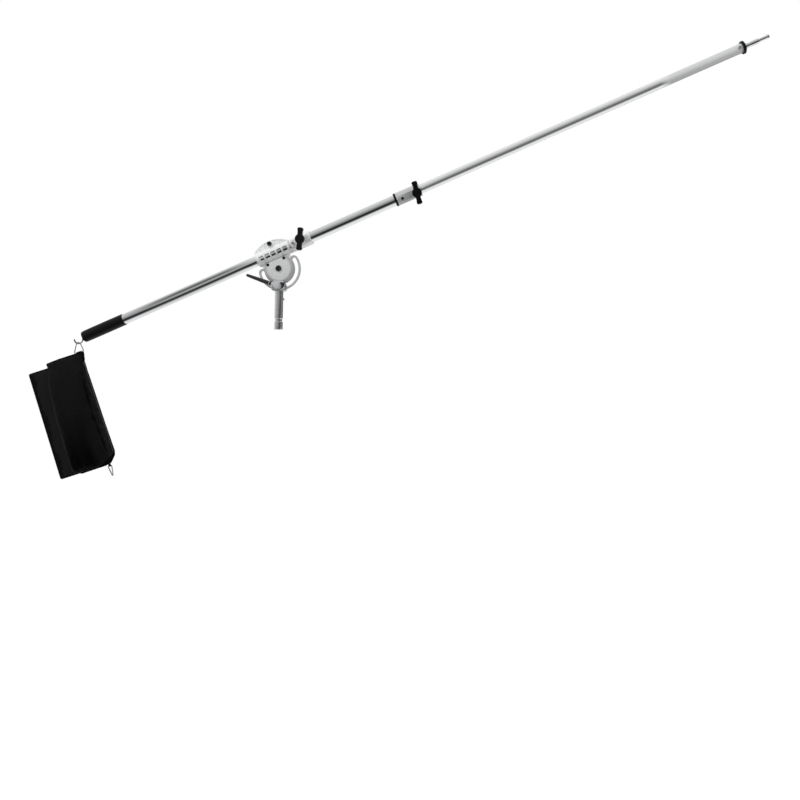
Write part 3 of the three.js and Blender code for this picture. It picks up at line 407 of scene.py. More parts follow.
class Finish(Nodes):
    """One finish of the arm: its shader's own numbers, and the nodes that vary its colour, gloss and relief."""

    def __init__(self, name, **fixed):
        self.material = bpy.data.materials.new(name)
        self.material.use_nodes = True
        super().__init__(self.material.node_tree)
        self.shader = self.tree.nodes["Principled BSDF"]
        self.paint(**fixed)

    def relief(self, height, distance, strength=1.0):
        """A height in units of a distance in millimetres, as the bend of the surface's normal."""
        bent = self.node("ShaderNodeBump", {"Strength": strength, "Distance": distance * MM, "Height": height})
        self.paint(Normal=bent)

    def paint(self, **inputs):
        for key, value in inputs.items():
            self.feed(self.shader.inputs[key.replace("_", " ")], value)
        return self.material


def tones(base, spread):
    """A dark and a light colour on both sides of a base colour."""
    return tuple(c * (1 - spread) for c in base), tuple(min(1, c * (1 + spread)) for c in base)


def chrome_finish(name, metallic, base, satin_from=None):
    """Polished chrome with a faint haze of rubbed streaks along the tube; past a station it is satin and paler."""
    look = Finish(name)
    streak = look.noise(look.position(BOOM, (60, 1.2, 1.2)), 1.0, 4, 0.6)
    smudge = look.noise(look.position(BOOM, (90, 40, 40)), 1.0, 3)
    shine, colour = 0.05 + streak * 0.07 + smudge * 0.06, look.mix(streak, *tones(base, 0.03))
    if satin_from is None:
        return look.paint(Base_Color=colour, Roughness=shine, Metallic=metallic)
    along = look.parts(look.position(BOOM))[0] + smudge * 30 - 15
    satin = look.level(along, satin_from - 18, satin_from + 18)
    return look.paint(Base_Color=look.mix(satin, colour, (0.52, 0.525, 0.53)), Roughness=shine + satin * 0.30,
                      Metallic=metallic - satin * (metallic - 0.12))


def skin(name, base, spread, cloud, grain, rough, relief, place=PIN, stretch=(1, 1, 1), **fixed):
    """An even skin. Clouding and a fine grain are noises, given by scale, detail and roughness: the clouding lies
    between a darker and a lighter tone, the grain has a relief of this distance and strength, and rough is the least
    roughness and what the grain and the clouding add to it."""
    look = Finish(name, **fixed)
    clouds = look.noise(look.position(place), *cloud)
    grains = look.noise(look.position(place, stretch), *grain)
    if relief:
        look.relief(grains, *relief)
    return look.paint(Base_Color=look.mix(clouds, *tones(base, spread)),
                      Roughness=rough[0] + grains * rough[1] + clouds * rough[2])


def cast_finish(name, tone, metallic):
    """Satin silver skin on cast alloy, with faint clouding and slightly brighter rubbed spots."""
    return skin(name, (tone, tone + 0.005, tone + 0.01), 0.05, (0.035, 3), (1.6, 3, 0.65), (0.34, 0.12, 0.06),
                (0.10, 0.35), HEAD, Metallic=metallic, Specular_IOR_Level=0.4)


def steel_finish(name, base, rough):
    """Plated steel, a little lighter where it is handled, with fine scratches across."""
    return skin(name, base, 0.22, (0.06, 4, 0.6), (1.0, 3, 0.7), (rough, 0.06, 0.10), (0.03, 0.4),
                stretch=(1.5, 1.5, 30), Metallic=1.0)


def moulded_finish(name, base, rough, grain, depth, spread=0.25, specular=0.3):
    """Moulded plastic or rubber: an even fine grain with a slight change of shade."""
    return skin(name, base, spread, (0.05, 3), (grain, 3, 0.6), (rough, 0.14, 0), (depth, 0.6),
                Metallic=0.0, Specular_IOR_Level=specular)


def disc_finish():
    """Turned grey alloy: fine rings about the pivot, each with its own depth; the bevelled rim is painted darker as
    shade.
    """
    look = Finish("turned_alloy", Metallic=0.35, Specular_IOR_Level=0.4)
    x, _, z = look.parts(look.position(HEAD))
    radius = look.math("SQRT", x * x + z * z)
    ring = look.noise(look.node("ShaderNodeCombineXYZ", {0: radius}), 1.4, 4, 0.7)
    cloud = look.noise(look.position(HEAD), 0.03, 3)
    look.relief(ring, 0.12, 0.5)
    face = look.mix(ring * 0.6 + cloud * 0.4, *tones((0.67, 0.675, 0.68), 0.06))
    # Painted shade: the bevelled rim's colour is darkened as if it were turned away from the light.
    rim = look.level(radius + cloud * 1.5, 38.5, 44.5)
    return look.paint(Base_Color=look.mix(rim, face, (0.46, 0.465, 0.47)), Roughness=0.30 + ring * 0.16)


def fabric_finish(name, base, pitch, depth=0.25, painted_shade_cut=1.0):
    """Coarse coated nylon cloth. Its plain weave has warp ribs where the threads' rows and columns agree and weft
    ribs where they don't. Creases are pressed in; low down in the middle, painted shade darkens the colour towards
    black."""
    look = Finish(name, Metallic=0.0, Sheen_Weight=0.012, Sheen_Roughness=0.5, Specular_IOR_Level=0.07)
    x, y, z = look.parts(look.position(BAG, (pitch, pitch, pitch)))
    across = x + y * 0.7
    warp, weft = (look.math("ABSOLUTE", look.math("SINE", way * math.pi)) for way in (across, z))
    pick = look.math("FLOORED_MODULO", look.math("FLOOR", across) + look.math("FLOOR", z), 2)
    threads = pick * warp + (1 - pick) * weft
    cloud = look.noise(look.position(BAG), 0.018, 4, 0.6)
    crease = look.noise(look.position(BAG, (1, 1, 4)), 0.03, 3, 0.65)
    look.relief(threads * 0.8 + crease * 2.0, depth, 0.7)
    faded = look.mix(cloud * 0.7 + threads * 0.3, *tones(base, 0.3))
    # Painted shade: low down in the middle the colour is drawn towards black where the hollow lies in shade; the last
    # argument takes part of it away.
    x, _, z = look.parts(look.position(BAG))
    low = (look.level(z + cloud * 60, -190, -360) * look.level(x + cloud * 30, -8, -36)
           * look.level(x + cloud * 20, -140, -108) * (1 - painted_shade_cut))
    return look.paint(Base_Color=look.mix(low, faded, (0.0, 0.0, 0.0)), Roughness=0.62 + threads * 0.2)


CHROME = chrome_finish("polished_chrome", 1.0, (0.86, 0.87, 0.88))
INNER_CHROME = chrome_finish("hazy_chrome", 0.84, (0.93, 0.935, 0.94), 1390)
CAST = cast_finish("cast_aluminium", 0.84, 0.28)
SLEEVE_CAST = cast_finish("bright_aluminium", 0.90, 0.52)
# Painted shade: besides the clamps, this darker finish is put on the head's slot band to stand in for its shade.
CLAMP_CAST_AND_PAINTED_SHADE = cast_finish("clamp_aluminium_and_painted_shade", 0.54, 0.4)
DISC = disc_finish()
YOKE_STEEL = steel_finish("plated_steel", (0.80, 0.81, 0.82), 0.20)
# Painted shadow: besides the lever, this dark finish covers the plate beside the lever's washer that stands in for
# shade.
LEVER_STEEL_AND_PAINTED_SHADOW = steel_finish("black_nickel_and_painted_shadow", (0.10, 0.102, 0.106), 0.30)
BLACK_STEEL = steel_finish("black_oxide", (0.085, 0.086, 0.09), 0.36)
ZINC = skin("zinc_plated", (0.72, 0.73, 0.73), 0.1, (0.35, 4, 0.6), (1.0,), (0.22, 0, 0.2), None, Metallic=1.0)
PLASTIC = moulded_finish("black_plastic", (0.0038, 0.0038, 0.0041), 0.30, 2.2, 0.06, specular=0.25)
RUBBER = moulded_finish("black_rubber", (0.0026, 0.0026, 0.0028), 0.44, 1.4, 0.16, specular=0.26)
NYLON = moulded_finish("pale_nylon", (0.62, 0.60, 0.55), 0.42, 1.0, 0.04, 0.08)
TEETH = moulded_finish("zip_teeth", (0.020, 0.020, 0.022), 0.30, 1.0, 0.03)
THREAD = moulded_finish("sewing_thread", (0.020, 0.020, 0.021), 0.55, 3.0, 0.05)
CLOTH = fabric_finish("bag_cloth", (0.0040, 0.0040, 0.0043), 0.9, painted_shade_cut=0.05)
REAR_CLOTH = fabric_finish("rear_cloth", (0.0092, 0.0092, 0.0096), 0.9, painted_shade_cut=0.8)
WEBBING = fabric_finish("bag_webbing", (0.0030, 0.0030, 0.0033), 1.3, 0.4)
BINDING = fabric_finish("bag_binding", (0.0032, 0.0032, 0.0035), 0.7, 0.2)


# Screws, nuts and handles


SMALL_SCREW = (4.8, 3.4, 2.5)


def cap_screw(seat, size, length):
    """A cap screw towards -Y, from its head's radius and height and its shank's radius: a hexagon socket with a
    chamfered mouth, the rounded head, then the shank."""
    radius, height, shank = size
    top, floor, socket = seat - height, seat - height * 0.42, 0.52 * radius
    rows = [(floor, 0), (floor, socket * 0.98, 1), (top + 0.25, socket, 1), (top, socket * 1.08), (top, radius - 0.8)]
    head = [(top, radius - 1.2), (top, radius), (seat, radius), (seat, shank), (seat + length, shank),
            (seat + length, 0)]
    return turned(rows + rounded(head, [0, 0.9, 0.2, 0, 0.5, 0], 4).tolist(), 1, 48)


def domed_nut(seat, radius, bore, height):
    """A hexagon nut with a domed cap along Y: flats below, a round crown above."""
    top, crown = seat + height * 0.66, radius * 0.78
    rows = [(seat, 0), (seat, bore), (seat, radius * 0.9, 1), (seat + 0.5, radius, 1), (top - 0.6, radius, 1),
            (top, radius * 0.9, 1), (top, crown)]
    dome = [(top + height * 0.34 * math.sin(a), crown * math.cos(a)) for a in np.linspace(0.15, math.pi / 2, 8)]
    return turned(rows + dome, 1, 60)


def knob_outline():
    """The T handle seen from the front: a round hub with two waisted wings that flare to rounded ends. The sides of
    a wing are drawn in slightly, and the lower half is the upper one given half a turn."""
    hub, waist, flare, half, corner = 16, 7.5, 9.5, 37.5, 5.7
    lift = math.degrees(math.acos(waist / hub)) - 4
    t = np.linspace(0, 1, 8)[1:-1, None]
    side = np.array([waist + 0.6, 15.6]) * (1 - t) + np.array([flare, half - corner]) * t
    side[:, 0] -= 0.5 * np.sin(math.pi * t[:, 0])
    end = arc((flare - corner, half - corner), corner, 0, 90, 8)
    upper = np.vstack([arc((0, 0), hub, -lift, lift, 20), side, end, end[::-1] * (-1, 1), side[::-1] * (-1, 1)])
    return np.vstack([upper, -upper])


def t_knob(name, place, seat, degrees, screw_tip, body, nodes):
    """A T handle on its screw: the moulded grip with a dished hub and cap, its neck, and the threaded shank behind."""
    neck, depth, pitch = 6, 15, 1.25
    face = -neck - depth
    dish = [(face + 2.2, 0), (face + 2.2, 5.6), (face - 0.35, 6.4), (face - 0.55, 7.4), (face - 0.35, 8.4),
            (face + 1, 8.8), (face + 3, 8.8), (face + 3, 0)]
    handle = Form(place.child((0, -seat, 0), 1, -degrees))
    handle.add(pressed(knob_outline(), face, -neck, 2.6, 6))
    handle.add(shaft([(-neck - 3, 0), (-neck - 3, 12), (-neck + 0.6, 11.4), (-1, 10.5), (0, 9.6), (0, 0)], 1.0, 1, 64))
    handle.add(turned(rounded(dish, 0.3, 3), 1, 64))
    handle.build(name, PLASTIC, body, nodes[0], "black_plastic", 50)
    start = -seat - 8
    turns = np.arange(2 * int((screw_tip - start) / pitch))
    crests = np.stack([start + turns * pitch / 2, np.where(turns % 2 == 0, 4.95, 4.25)], 1)
    thread = Form(place).add(turned([(start, 0), *crests, (screw_tip, 3.6), (screw_tip, 0)], 1, 40))
    thread.build(name + "_screw", ZINC, body, nodes[1], "zinc_steel", 80)


# Pin and yoke


def yoke_piece():
    """The pin, its forged knuckle, the front ear, the rear arm, the thin cheek round the lever's washer, and a thin
    dark plate beside the washer that is a painted shadow of the fork's inside.
    """
    form = Form(PIN)
    pin = [(0, 0), (0, 14.3), (26, 14.3), (27.9, 12.4), (36.1, 12.4), (38, 14.3), (133.6, 14.3), (133.6, 0)]
    form.add(turned(rounded(pin, [0, 1.6, 0.6, 0.6, 0.6, 0.6, 0.4, 0], 5), 2, 128))
    knuckle = rounded([(-23, 129.6), (23, 129.6), (24, 146), (-24, 146)], [9, 9, 0.5, 0.5], 8, closed=True)
    form.add(pressed(np.vstack([knuckle[knuckle[:, 1] < 134], [(24, 134), (-24, 134)]]), -15.3, 15.3, 1.4, 5))
    cup = rounded([(-24, 150), (-23, 129.6), (23, 129.6), (24, 150)], 9, 8)[1:-1]
    form.add(pressed(np.vstack([cup, arc((0, PIVOT_HEIGHT), 53, -64, -116, 24)]), -15.3, -5.3, 1.2))
    flank = np.array([(22, 154), (13.6, 166), (12.6, 177), (15.4, 190)])
    arm = [rounded([(-24, 148), (-23, 129.6), (23, 129.6), (24, 148)], 9, 8), smoothed(flank),
           arc((0, PIVOT_HEIGHT), 19, -12, 192, 40), smoothed(flank[::-1] * (-1, 1))]
    form.add(pressed(np.vstack(arm), 5.3, 15.3, 1.6, 5))
    form.add(cheek(), CLAMP, 1)
    # Painted shadow: a thin dark plate right of the lever's hub stands where the inside of the fork lies in shade.
    pad = [(8.5, 9.0), (6.5, 14.5), (21.5, 14.2), (21.8, 2.5), (14.5, -5.5), (10.2, -7.5), (12.5, 2.8)]
    form.add(pressed(rounded(pad, 1.2, 3, closed=True), -18.6, -17.0, 0.6, 3), CLAMP, 2)
    form.build("pin_and_yoke", [YOKE_STEEL, CLAMP_CAST_AND_PAINTED_SHADE, LEVER_STEEL_AND_PAINTED_SHADOW], "yoke", "yoke_pin", "dark_steel", 40)


def cheek():
    """A thin plate round the clamp bolt: at each angle it reaches from the washer's rim to a squarish oval, whose
    reach is the fourth-power mean of its half width and its half height, larger above than below."""
    c, s = np.cos(around(120)), np.sin(around(120))
    reach = ((np.abs(c) / 22.5) ** 4 + (np.abs(s) / np.where(s > 0, 19.5, 14.0)) ** 4) ** -0.25
    inner = np.full(120, 11.9)
    rows = [(-16.0, inner), (-17.1, inner), (-17.3, inner + 0.2), (-17.3, reach - 0.8), (-17.0, reach - 0.2),
            (-16.0, reach)]
    grid = np.stack([np.stack([r * c, np.full(120, station), r * s], -1) for station, r in rows])
    return woven(grid, around_rows=True, around_columns=True)


LEVER_SEAT = -17.5


def lever_piece():
    """The lock lever: a satin hub and neck, a dark collar with a bright line, and a dark bar that tapers to its tip."""
    face = LEVER_SEAT - 25
    hub = [(face, 0), (face, 8.2), (face + 0.9, 9.4), (face + 1.6, 11), (LEVER_SEAT, 11), (LEVER_SEAT, 0)]
    form = Form(CLAMP).add(shaft(hub, [0, 0.5, 0.5, 1.2, 0.6, 0], 1, 80), mark=1)
    rod = CLAMP.child((0, face + 9, 0), 1, 180 + LEVER_RISE)
    for mark, edges, *corners in ((1, 0.3, (0, 0), (0, 5.6), (22, 5.2), (22, 0)),
                                  (0, [0, 1.1, 0.7, 0], (20.8, 0), (20.8, 7.0), (27.4, 7.2), (27.4, 0)),
                                  (1, 0.3, (27.0, 0), (27.0, 6.3), (29.6, 6.3), (29.6, 0))):
        form.add(shaft(corners, edges, 0, 64), rod, mark)
    bar = [(29.2, 0), (29.2, 7.0), (36, 7.1), (52, 6.8), (78, 5.9), (106, 4.8), (110.4, 3.4), (112, 0)]
    form.add(turned(rounded(bar, [0, 0.7, 2, 20, 20, 4, 3, 0], 5), 0, 64), rod)
    form.build("tilt_lock_lever", [LEVER_STEEL_AND_PAINTED_SHADOW, CLAMP_CAST_AND_PAINTED_SHADE], "tilt_lever", "tilt_lever", "dark_steel", 40)


yoke_piece()
lever_piece()


# Tilting head


def windowed_sleeve():
    """A tube on a grid of station and angle. Window edges are found as a rounded rectangle's distance; points near
    an edge are drawn onto it, cells inside it are left out, and walls join the outer skin to the inner one."""
    stations = np.linspace(-59, 64, 124)
    angles = around(144)
    u, t = (a.copy() for a in np.meshgrid(stations, angles, indexing="ij"))
    start, width, pitch, low, high, corner = -48.0, 16.6, 21.6, -13.0, 5.0, 3.0
    side = np.where(np.cos(t) >= 0, 1.0, -1.0)
    for _ in range(3):
        slot = np.clip(np.floor((u - start + 2.5) / pitch), 0, 4)
        rise = 23 * np.arctan2(np.sin(t), np.abs(np.cos(t)))
        bottom, top = 23 * math.asin(low / 23), 23 * math.asin(high / 23)
        dx = np.abs(u - (start + slot * pitch + width / 2)) - (width / 2 - corner)
        dz = np.abs(rise - (bottom + top) / 2) - ((top - bottom) / 2 - corner)
        distance = np.hypot(np.maximum(dx, 0), np.maximum(dz, 0)) + np.minimum(np.maximum(dx, dz), 0) - corner
        near = np.abs(distance) < 0.55
        length = np.maximum(np.hypot(np.maximum(dx, 0), np.maximum(dz, 0)), 1e-6)
        flat = (dx <= 0) | (dz <= 0)
        beyond = np.sign(u - (start + slot * pitch + width / 2))
        gx = np.where(flat, (dx > dz) * 1.0, np.maximum(dx, 0) / length) * beyond
        gz = np.where(flat, (dz >= dx) * 1.0, np.maximum(dz, 0) / length) * np.sign(rise - (bottom + top) / 2)
        u -= np.where(near, distance * gx, 0)
        t -= np.where(near, distance * gz, 0) / 23 * side
    index = np.arange(u.size).reshape(u.shape)
    index = np.hstack([index, index[:, :1]])
    cells = np.stack([index[:-1, :-1], index[1:, :-1], index[1:, 1:], index[:-1, 1:]], -1).reshape(-1, 4)
    kept = cells[distance.reshape(-1)[cells].mean(1) > 0]
    lip = 23 + 1.8 * (1 - ease(u, -53.5, -51.5)) + 0.7 * ease(u, 60.5, 61.5)
    edge = np.minimum(u + 59, 64 - u)
    outer_radius = lip - 1.2 + np.sqrt(np.clip(1.2 ** 2 - np.clip(1.2 - edge, 0, 1.2) ** 2, 0, None))
    skins = [np.stack([u, r * np.cos(t), r * np.sin(t)], -1).reshape(-1, 3)
             for r in (outer_radius, np.full(u.shape, 18.1))]
    pairs = np.vstack([kept[:, [0, 1]], kept[:, [1, 2]], kept[:, [2, 3]], kept[:, [3, 0]]])
    keys = pairs.min(1).astype(np.int64) * u.size + pairs.max(1)
    _, inverse, counts = np.unique(keys, return_inverse=True, return_counts=True)
    rim = pairs[counts[inverse] == 1]
    n = u.size
    walls = np.stack([rim[:, 1], rim[:, 0], rim[:, 0] + n, rim[:, 1] + n], -1)
    return np.vstack(skins), [kept, kept[:, ::-1] + n, walls]


def slot_band():
    """The flange round the arc-shaped slot: a small rounded section carried round the slot's closed edge line."""
    middle, away, sweep = SLOT_RADIUS - 1.4, 9.9, 100
    start, end = -90 - sweep, -90 + sweep
    tips = [middle * np.array([math.cos(math.radians(a)), math.sin(math.radians(a))]) for a in (start, end)]
    line = np.vstack([arc((0, 0), middle + away, start, end, 150)[:-1], arc(tips[1], away, end, end + 180, 24)[:-1],
                      arc((0, 0), middle - away, end, start, 130)[:-1],
                      arc(tips[0], away, start + 180, start + 360, 24)[:-1]])
    return swept(np.insert(line, 1, 0, axis=1), box(-5, -3.5, 5, 3.5, 1.3, 4), (0, 1, 0), closed=True)


FAN = HEAD.child((2.4, 0, 89.6))
FAN_RADIUS, FAN_FOOT, RIB_STEP = 98.6, 75.2, 12


def head_piece():
    """The tilting head: hub plate, slotted band, windowed sleeve and the ribbed fan with its boss. The band takes the
    darker clamp finish as painted shade.
    """
    hub = np.vstack([arc((0, 0), 51.6, 180, 360, 90), [(51.6, 36.4), (-51.6, 36.4)]])
    web = np.vstack([[(-58, 74.6), (58, 74.6)], arc((0, 0), 98.8, 53.5, 126.5, 60)])
    rim = np.vstack([arc((0, 0), 101.2, 53, 127, 70), arc((0, 0), 96.4, 127, 53, 70)])
    # Painted shade: the slot band (mark 1) takes the darker clamp finish to stand in for the shade on it.
    form = Form(HEAD).add(pressed(hub, -4.6, 4.6, 1.0)).add(slot_band(), mark=1).add(windowed_sleeve(), BOOM, 2)
    form.add(pressed(web, -6.2, 6.2, 0.8)).add(pressed(rim, -7.4, 7.4, 1.1))
    for step in range(-3, 4):
        foot = FAN_FOOT / math.cos(math.radians(step * RIB_STEP)) + abs(step) * 0.3
        rib = box(-1.2, foot, 1.2, FAN_RADIUS, 0.3, 2)
        form.add(pressed(rib, -6.9, 6.9, 0.5, 3), HEAD.child((0, 0, 0), 1, step * RIB_STEP))
    form.add(shaft([(-8.6, 0), (-8.6, 9.5), (8.6, 9.5), (8.6, 0)], 1.0, 1, 64), FAN)
    form.build("tilting_head", [CAST, CLAMP_CAST_AND_PAINTED_SHADE, SLEEVE_CAST], "tilt_head", "head_casting", "cast_alloy", 40)


DISC_FACE, DISC_BACK = -15.8, -5.3
DISC_RADIUS, DISC_LEVEL = 50.0, 30.4
DISC_SCREW = np.array([30, 25.5])


def disc_piece():
    """The domed cover: rings from the pivot to its edge, which is round below and cut level under the sleeve.
    Depth falls off by a profile of the radius, and by a small round towards the cut; seats sink under the screws."""
    corner = math.asin(DISC_LEVEL / DISC_RADIUS)
    angles = np.unique(np.concatenate([around(300), [corner, math.pi - corner]]))
    c, s = np.cos(angles), np.sin(angles)
    edge = np.where(s > 0, np.minimum(DISC_RADIUS, DISC_LEVEL / np.maximum(s, 1e-6)), DISC_RADIUS)
    r = (1 - (1 - np.linspace(0, 1, 90)) ** 1.25)[:, None] * edge
    x, z = r * c, r * s
    drop = np.interp(r, [0, 26, 37, 41, 44.4, 47, 48.8, 49.6, 50], [0, 0.35, 1.1, 1.8, 2.8, 3.9, 5.2, 6.4, 7.4])
    near = np.clip(1.6 - (DISC_LEVEL - z), 0, 1.6)
    drop = drop + 1.6 - np.sqrt(1.6 ** 2 - near ** 2)
    for spot, seat_radius, depth in (((0, 0), 10.4, 2.0), (DISC_SCREW * (-1, 1), 5.6, 2.2), (DISC_SCREW, 5.6, 2.2)):
        away = np.hypot(x - spot[0], z - spot[1])
        drop = np.maximum(drop, depth * (1 - ease(away, seat_radius - 0.5, seat_radius + 0.4)))
    back = np.full(len(angles), DISC_BACK)
    wall, centre = (np.stack([share * x[-1], back, share * z[-1]], -1)[None] for share in (1, 0))
    grid = np.vstack([np.stack([x, DISC_FACE + drop, z], -1), wall, centre])
    Form(HEAD).add(woven(grid, around_columns=True)).build(
        "pivot_cover", DISC, "tilt_head", "pivot_disc", "disc_alloy", 42)


def clamp_casting(form, radius, profile, knob, screw):
    """A clamp collar: the turned barrel, the long pad towards -Y, and the round bosses under the knob and the screw.
    What would reach further in than the barrel's skin moves out along Y, so that pad and bosses lie against it."""
    form.add(turned(profile, 0, 128))
    patches = [(0, pressed(box(screw - 12, -12, knob + 12, 12, 11.5, 12), -radius - 2.6, -8, 1.8, 5))]
    for station, height, top, foot, edge, sides in ((knob, 4.5, 12.4, 13, 0.8, 72), (screw, 4.8, 6.4, 7.4, 0.6, 56)):
        boss = [(-radius - height, 0), (-radius - height, top), (-radius - 1, foot), (-10, foot), (-10, 0)]
        patches.append((station, shaft(boss, edge, 1, sides)))
    for station, (points, faces) in patches:
        points[:, 1] = np.minimum(points[:, 1], -np.sqrt(np.maximum((radius - 0.3) ** 2 - points[:, 2] ** 2, 0)))
        form.add((points, faces), form.place.child((station, 0, 0)))


def brake_piece():
    """The brake collar in front of the sleeve, joined to it behind the saw cut."""
    form = Form(BOOM.child((BRAKE_START, 0, 0)))
    profile = rounded([(0, 18.1), (0, 23.5), (73, 23.5), (73, 18.1)], [0.3, 1.3, 2.6, 0.5], 5, closed=True)
    clamp_casting(form, 23.5, profile, BRAKE_KNOB, BRAKE_SCREW)
    bridge = np.vstack([arc((0, 0), 22, -35, 35, 16), arc((0, 0), 18.4, 35, -35, 16)])
    block = np.stack([np.insert(bridge, 0, station, axis=1) for station in (-3.3, 1.0)])
    form.add(woven(block, around_columns=True, capped=True))
    form.build("brake_clamp", SLEEVE_CAST, "tilt_head", "brake_collar", "cast_alloy", 40)


head_piece()
disc_piece()
brake_piece()
t_knob("brake_t_handle", BRAKE, 32, -27, -17.8, "brake_knob", ("brake_knob", "brake_knob_screw"))


# Outer tube: its grip, hook and front collar


GRIP_RADIUS = 20.2


def grip_piece():
    """The rubber grip: a sleeve with soft ends and a slight swell, its skin broken by fine shallow rings. Its rear
    end rolls in by an ellipse ten long and two and a half deep; its front end by a quarter round."""
    stations = np.linspace(0.3, GRIP_LENGTH, 320)
    edge = GRIP_LENGTH - stations
    swell = 0.35 * np.sin(math.pi * stations / GRIP_LENGTH)
    front = 2.2 - np.sqrt(2.2 ** 2 - np.clip(2.2 - edge, 0, 2.2) ** 2)
    rear = 2.4 * (1 - np.sqrt(1 - np.clip(1 - (stations - 0.3) / 10, 0, 1) ** 2))
    radii = GRIP_RADIUS - 0.45 + swell - front - rear
    rings = 0.12 * ease(np.minimum(edge, stations - 6), 6, 9) * np.cos(2 * math.pi * stations / 4.0)
    rows = [(s - BOOM_REAR, r) for s, r in zip(stations, radii + rings)]
    inner = [(GRIP_LENGTH - BOOM_REAR, 17.45), (0.3 - BOOM_REAR, 17.25)]
    grip = Form(BOOM).add(turned(rows + inner, 0, 128))
    grip.build("rubber_grip", RUBBER, "outer_boom", "grip_sleeve", "black_rubber", 60)


def hook_piece():
    """The open wire hook: straight out of the cap, then round an upright circle to a rounded tip."""
    yaw = math.radians(HOOK_YAW)
    turn = np.radians(15 - 200 * np.arange(13) / 12)
    out = HOOK_RADIUS * np.cos(turn)
    loop = from_grip(out * math.cos(yaw) - HOOK_SET, out * math.sin(yaw), HOOK_RADIUS * np.sin(turn) - HOOK_DROP)
    path = smoothed(np.vstack([[(14 - BOOM_REAR, 0, 0), (-BOOM_REAR, 0, 0), (-BOOM_REAR - 4, 0, 0)], loop]), 8)
    taper = np.ones(len(path))
    taper[-5:] = np.sqrt(np.clip(1 - np.linspace(0, 0.97, 5) ** 2, 0, 1))
    normal = -math.sin(yaw) * WORLD_RIGHT + math.cos(yaw) * np.array([0, 1, 0])
    Form(BOOM).add(swept(path, circle(HOOK_WIRE + 0.7, 20), normal, taper=taper)).build(
        "bag_hook", ZINC, "outer_boom", "weight_hook", "zinc_steel", 60)


def collar_piece():
    """The front collar, stepped down to the inner tube at its mouth."""
    form = Form(COLLAR)
    profile = [(7.3, 17.8), (7.3, 21.3), (92, 21.3), (92, 15.6), (89, 15.6), (89, 17.8)]
    profile = rounded(profile, [0.3, 1.0, 2.2, 0.5, 0.2, 0.2], 5, closed=True)
    clamp_casting(form, 21.3, profile, COLLAR_KNOB, COLLAR_SCREW)
    form.build("tube_clamp", CLAMP_CAST_AND_PAINTED_SHADE, "outer_boom", "front_collar", "cast_alloy", 40)


grip_piece()
hook_piece()
collar_piece()
t_knob("tube_t_handle", COLLAR_HUB, 29.8, -7, -15.3, "collar_knob", ("collar_knob", "collar_knob_screw"))


# Turned pieces and screws of every body


set_screw = [(17.2, 0), (17.2, 1.3, 1), (17.9, 2.1, 1), (17.9, 3.2)] + rounded(
    [(17.9, 3.2), (17.9, 4.2), (14.6, 4.2), (14.6, 2.5), (8, 2.5), (8, 0)], [0, 0.6, 0.2, 0, 0.4, 0], 4).tolist()
clamp_nut = [(15.6, 0), (15.6, 9, 1), (16.1, 10, 1), (21.3, 10, 1), (21.9, 9, 1), (21.9, 5.2), (23.2, 4.6), (23.2, 0)]
clamp_shank = [(LEVER_SEAT - 14.7, 0), (LEVER_SEAT - 14.7, 5), (15.6, 5), (15.6, 0)]
cap_dome = [(4.5 * (1 - math.cos(a)) - BOOM_REAR, 9 + 8.1 * math.sin(a)) for a in np.linspace(0, math.pi / 2, 14)]
grip_cap = [(-BOOM_REAR, 0)] + cap_dome + [(5 - BOOM_REAR, 15.6), (24 - BOOM_REAR, 15.6), (24 - BOOM_REAR, 0)]
STUD_SEAT = INNER_END + 0.3
STUD = STUD_SEAT + 3
stud = [(INNER_END - 34, 0), (INNER_END - 34, 13.2), (STUD_SEAT, 13.2), (STUD_SEAT, 15), (STUD, 15), (STUD, 8),
        (STUD + 12, 8), (STUD + 13.5, 6.2), (STUD + 17, 6.2), (STUD + 18.5, 8), (STUD + 44, 8), (STUD + 44, 5.6),
        (STUD + 70, 5.6), (STUD + 71, 6.8), (STUD + 78, 6.8), (STUD + 78, 0)]
stud_edges = [0, 0.5, 0, 0.2, 0.9, 0.8, 0.4, 0.5, 0.5, 0.4, 1.4, 0.5, 0.4, 0.3, 1.4, 0]
DISC_REAR, DISC_FRONT = (HEAD.child((sign * DISC_SCREW[0], 0, DISC_SCREW[1])) for sign in (-1, 1))
BRAKE_SCREW_SPOT = BOOM.child((BRAKE_START + BRAKE_SCREW, 0, 0))

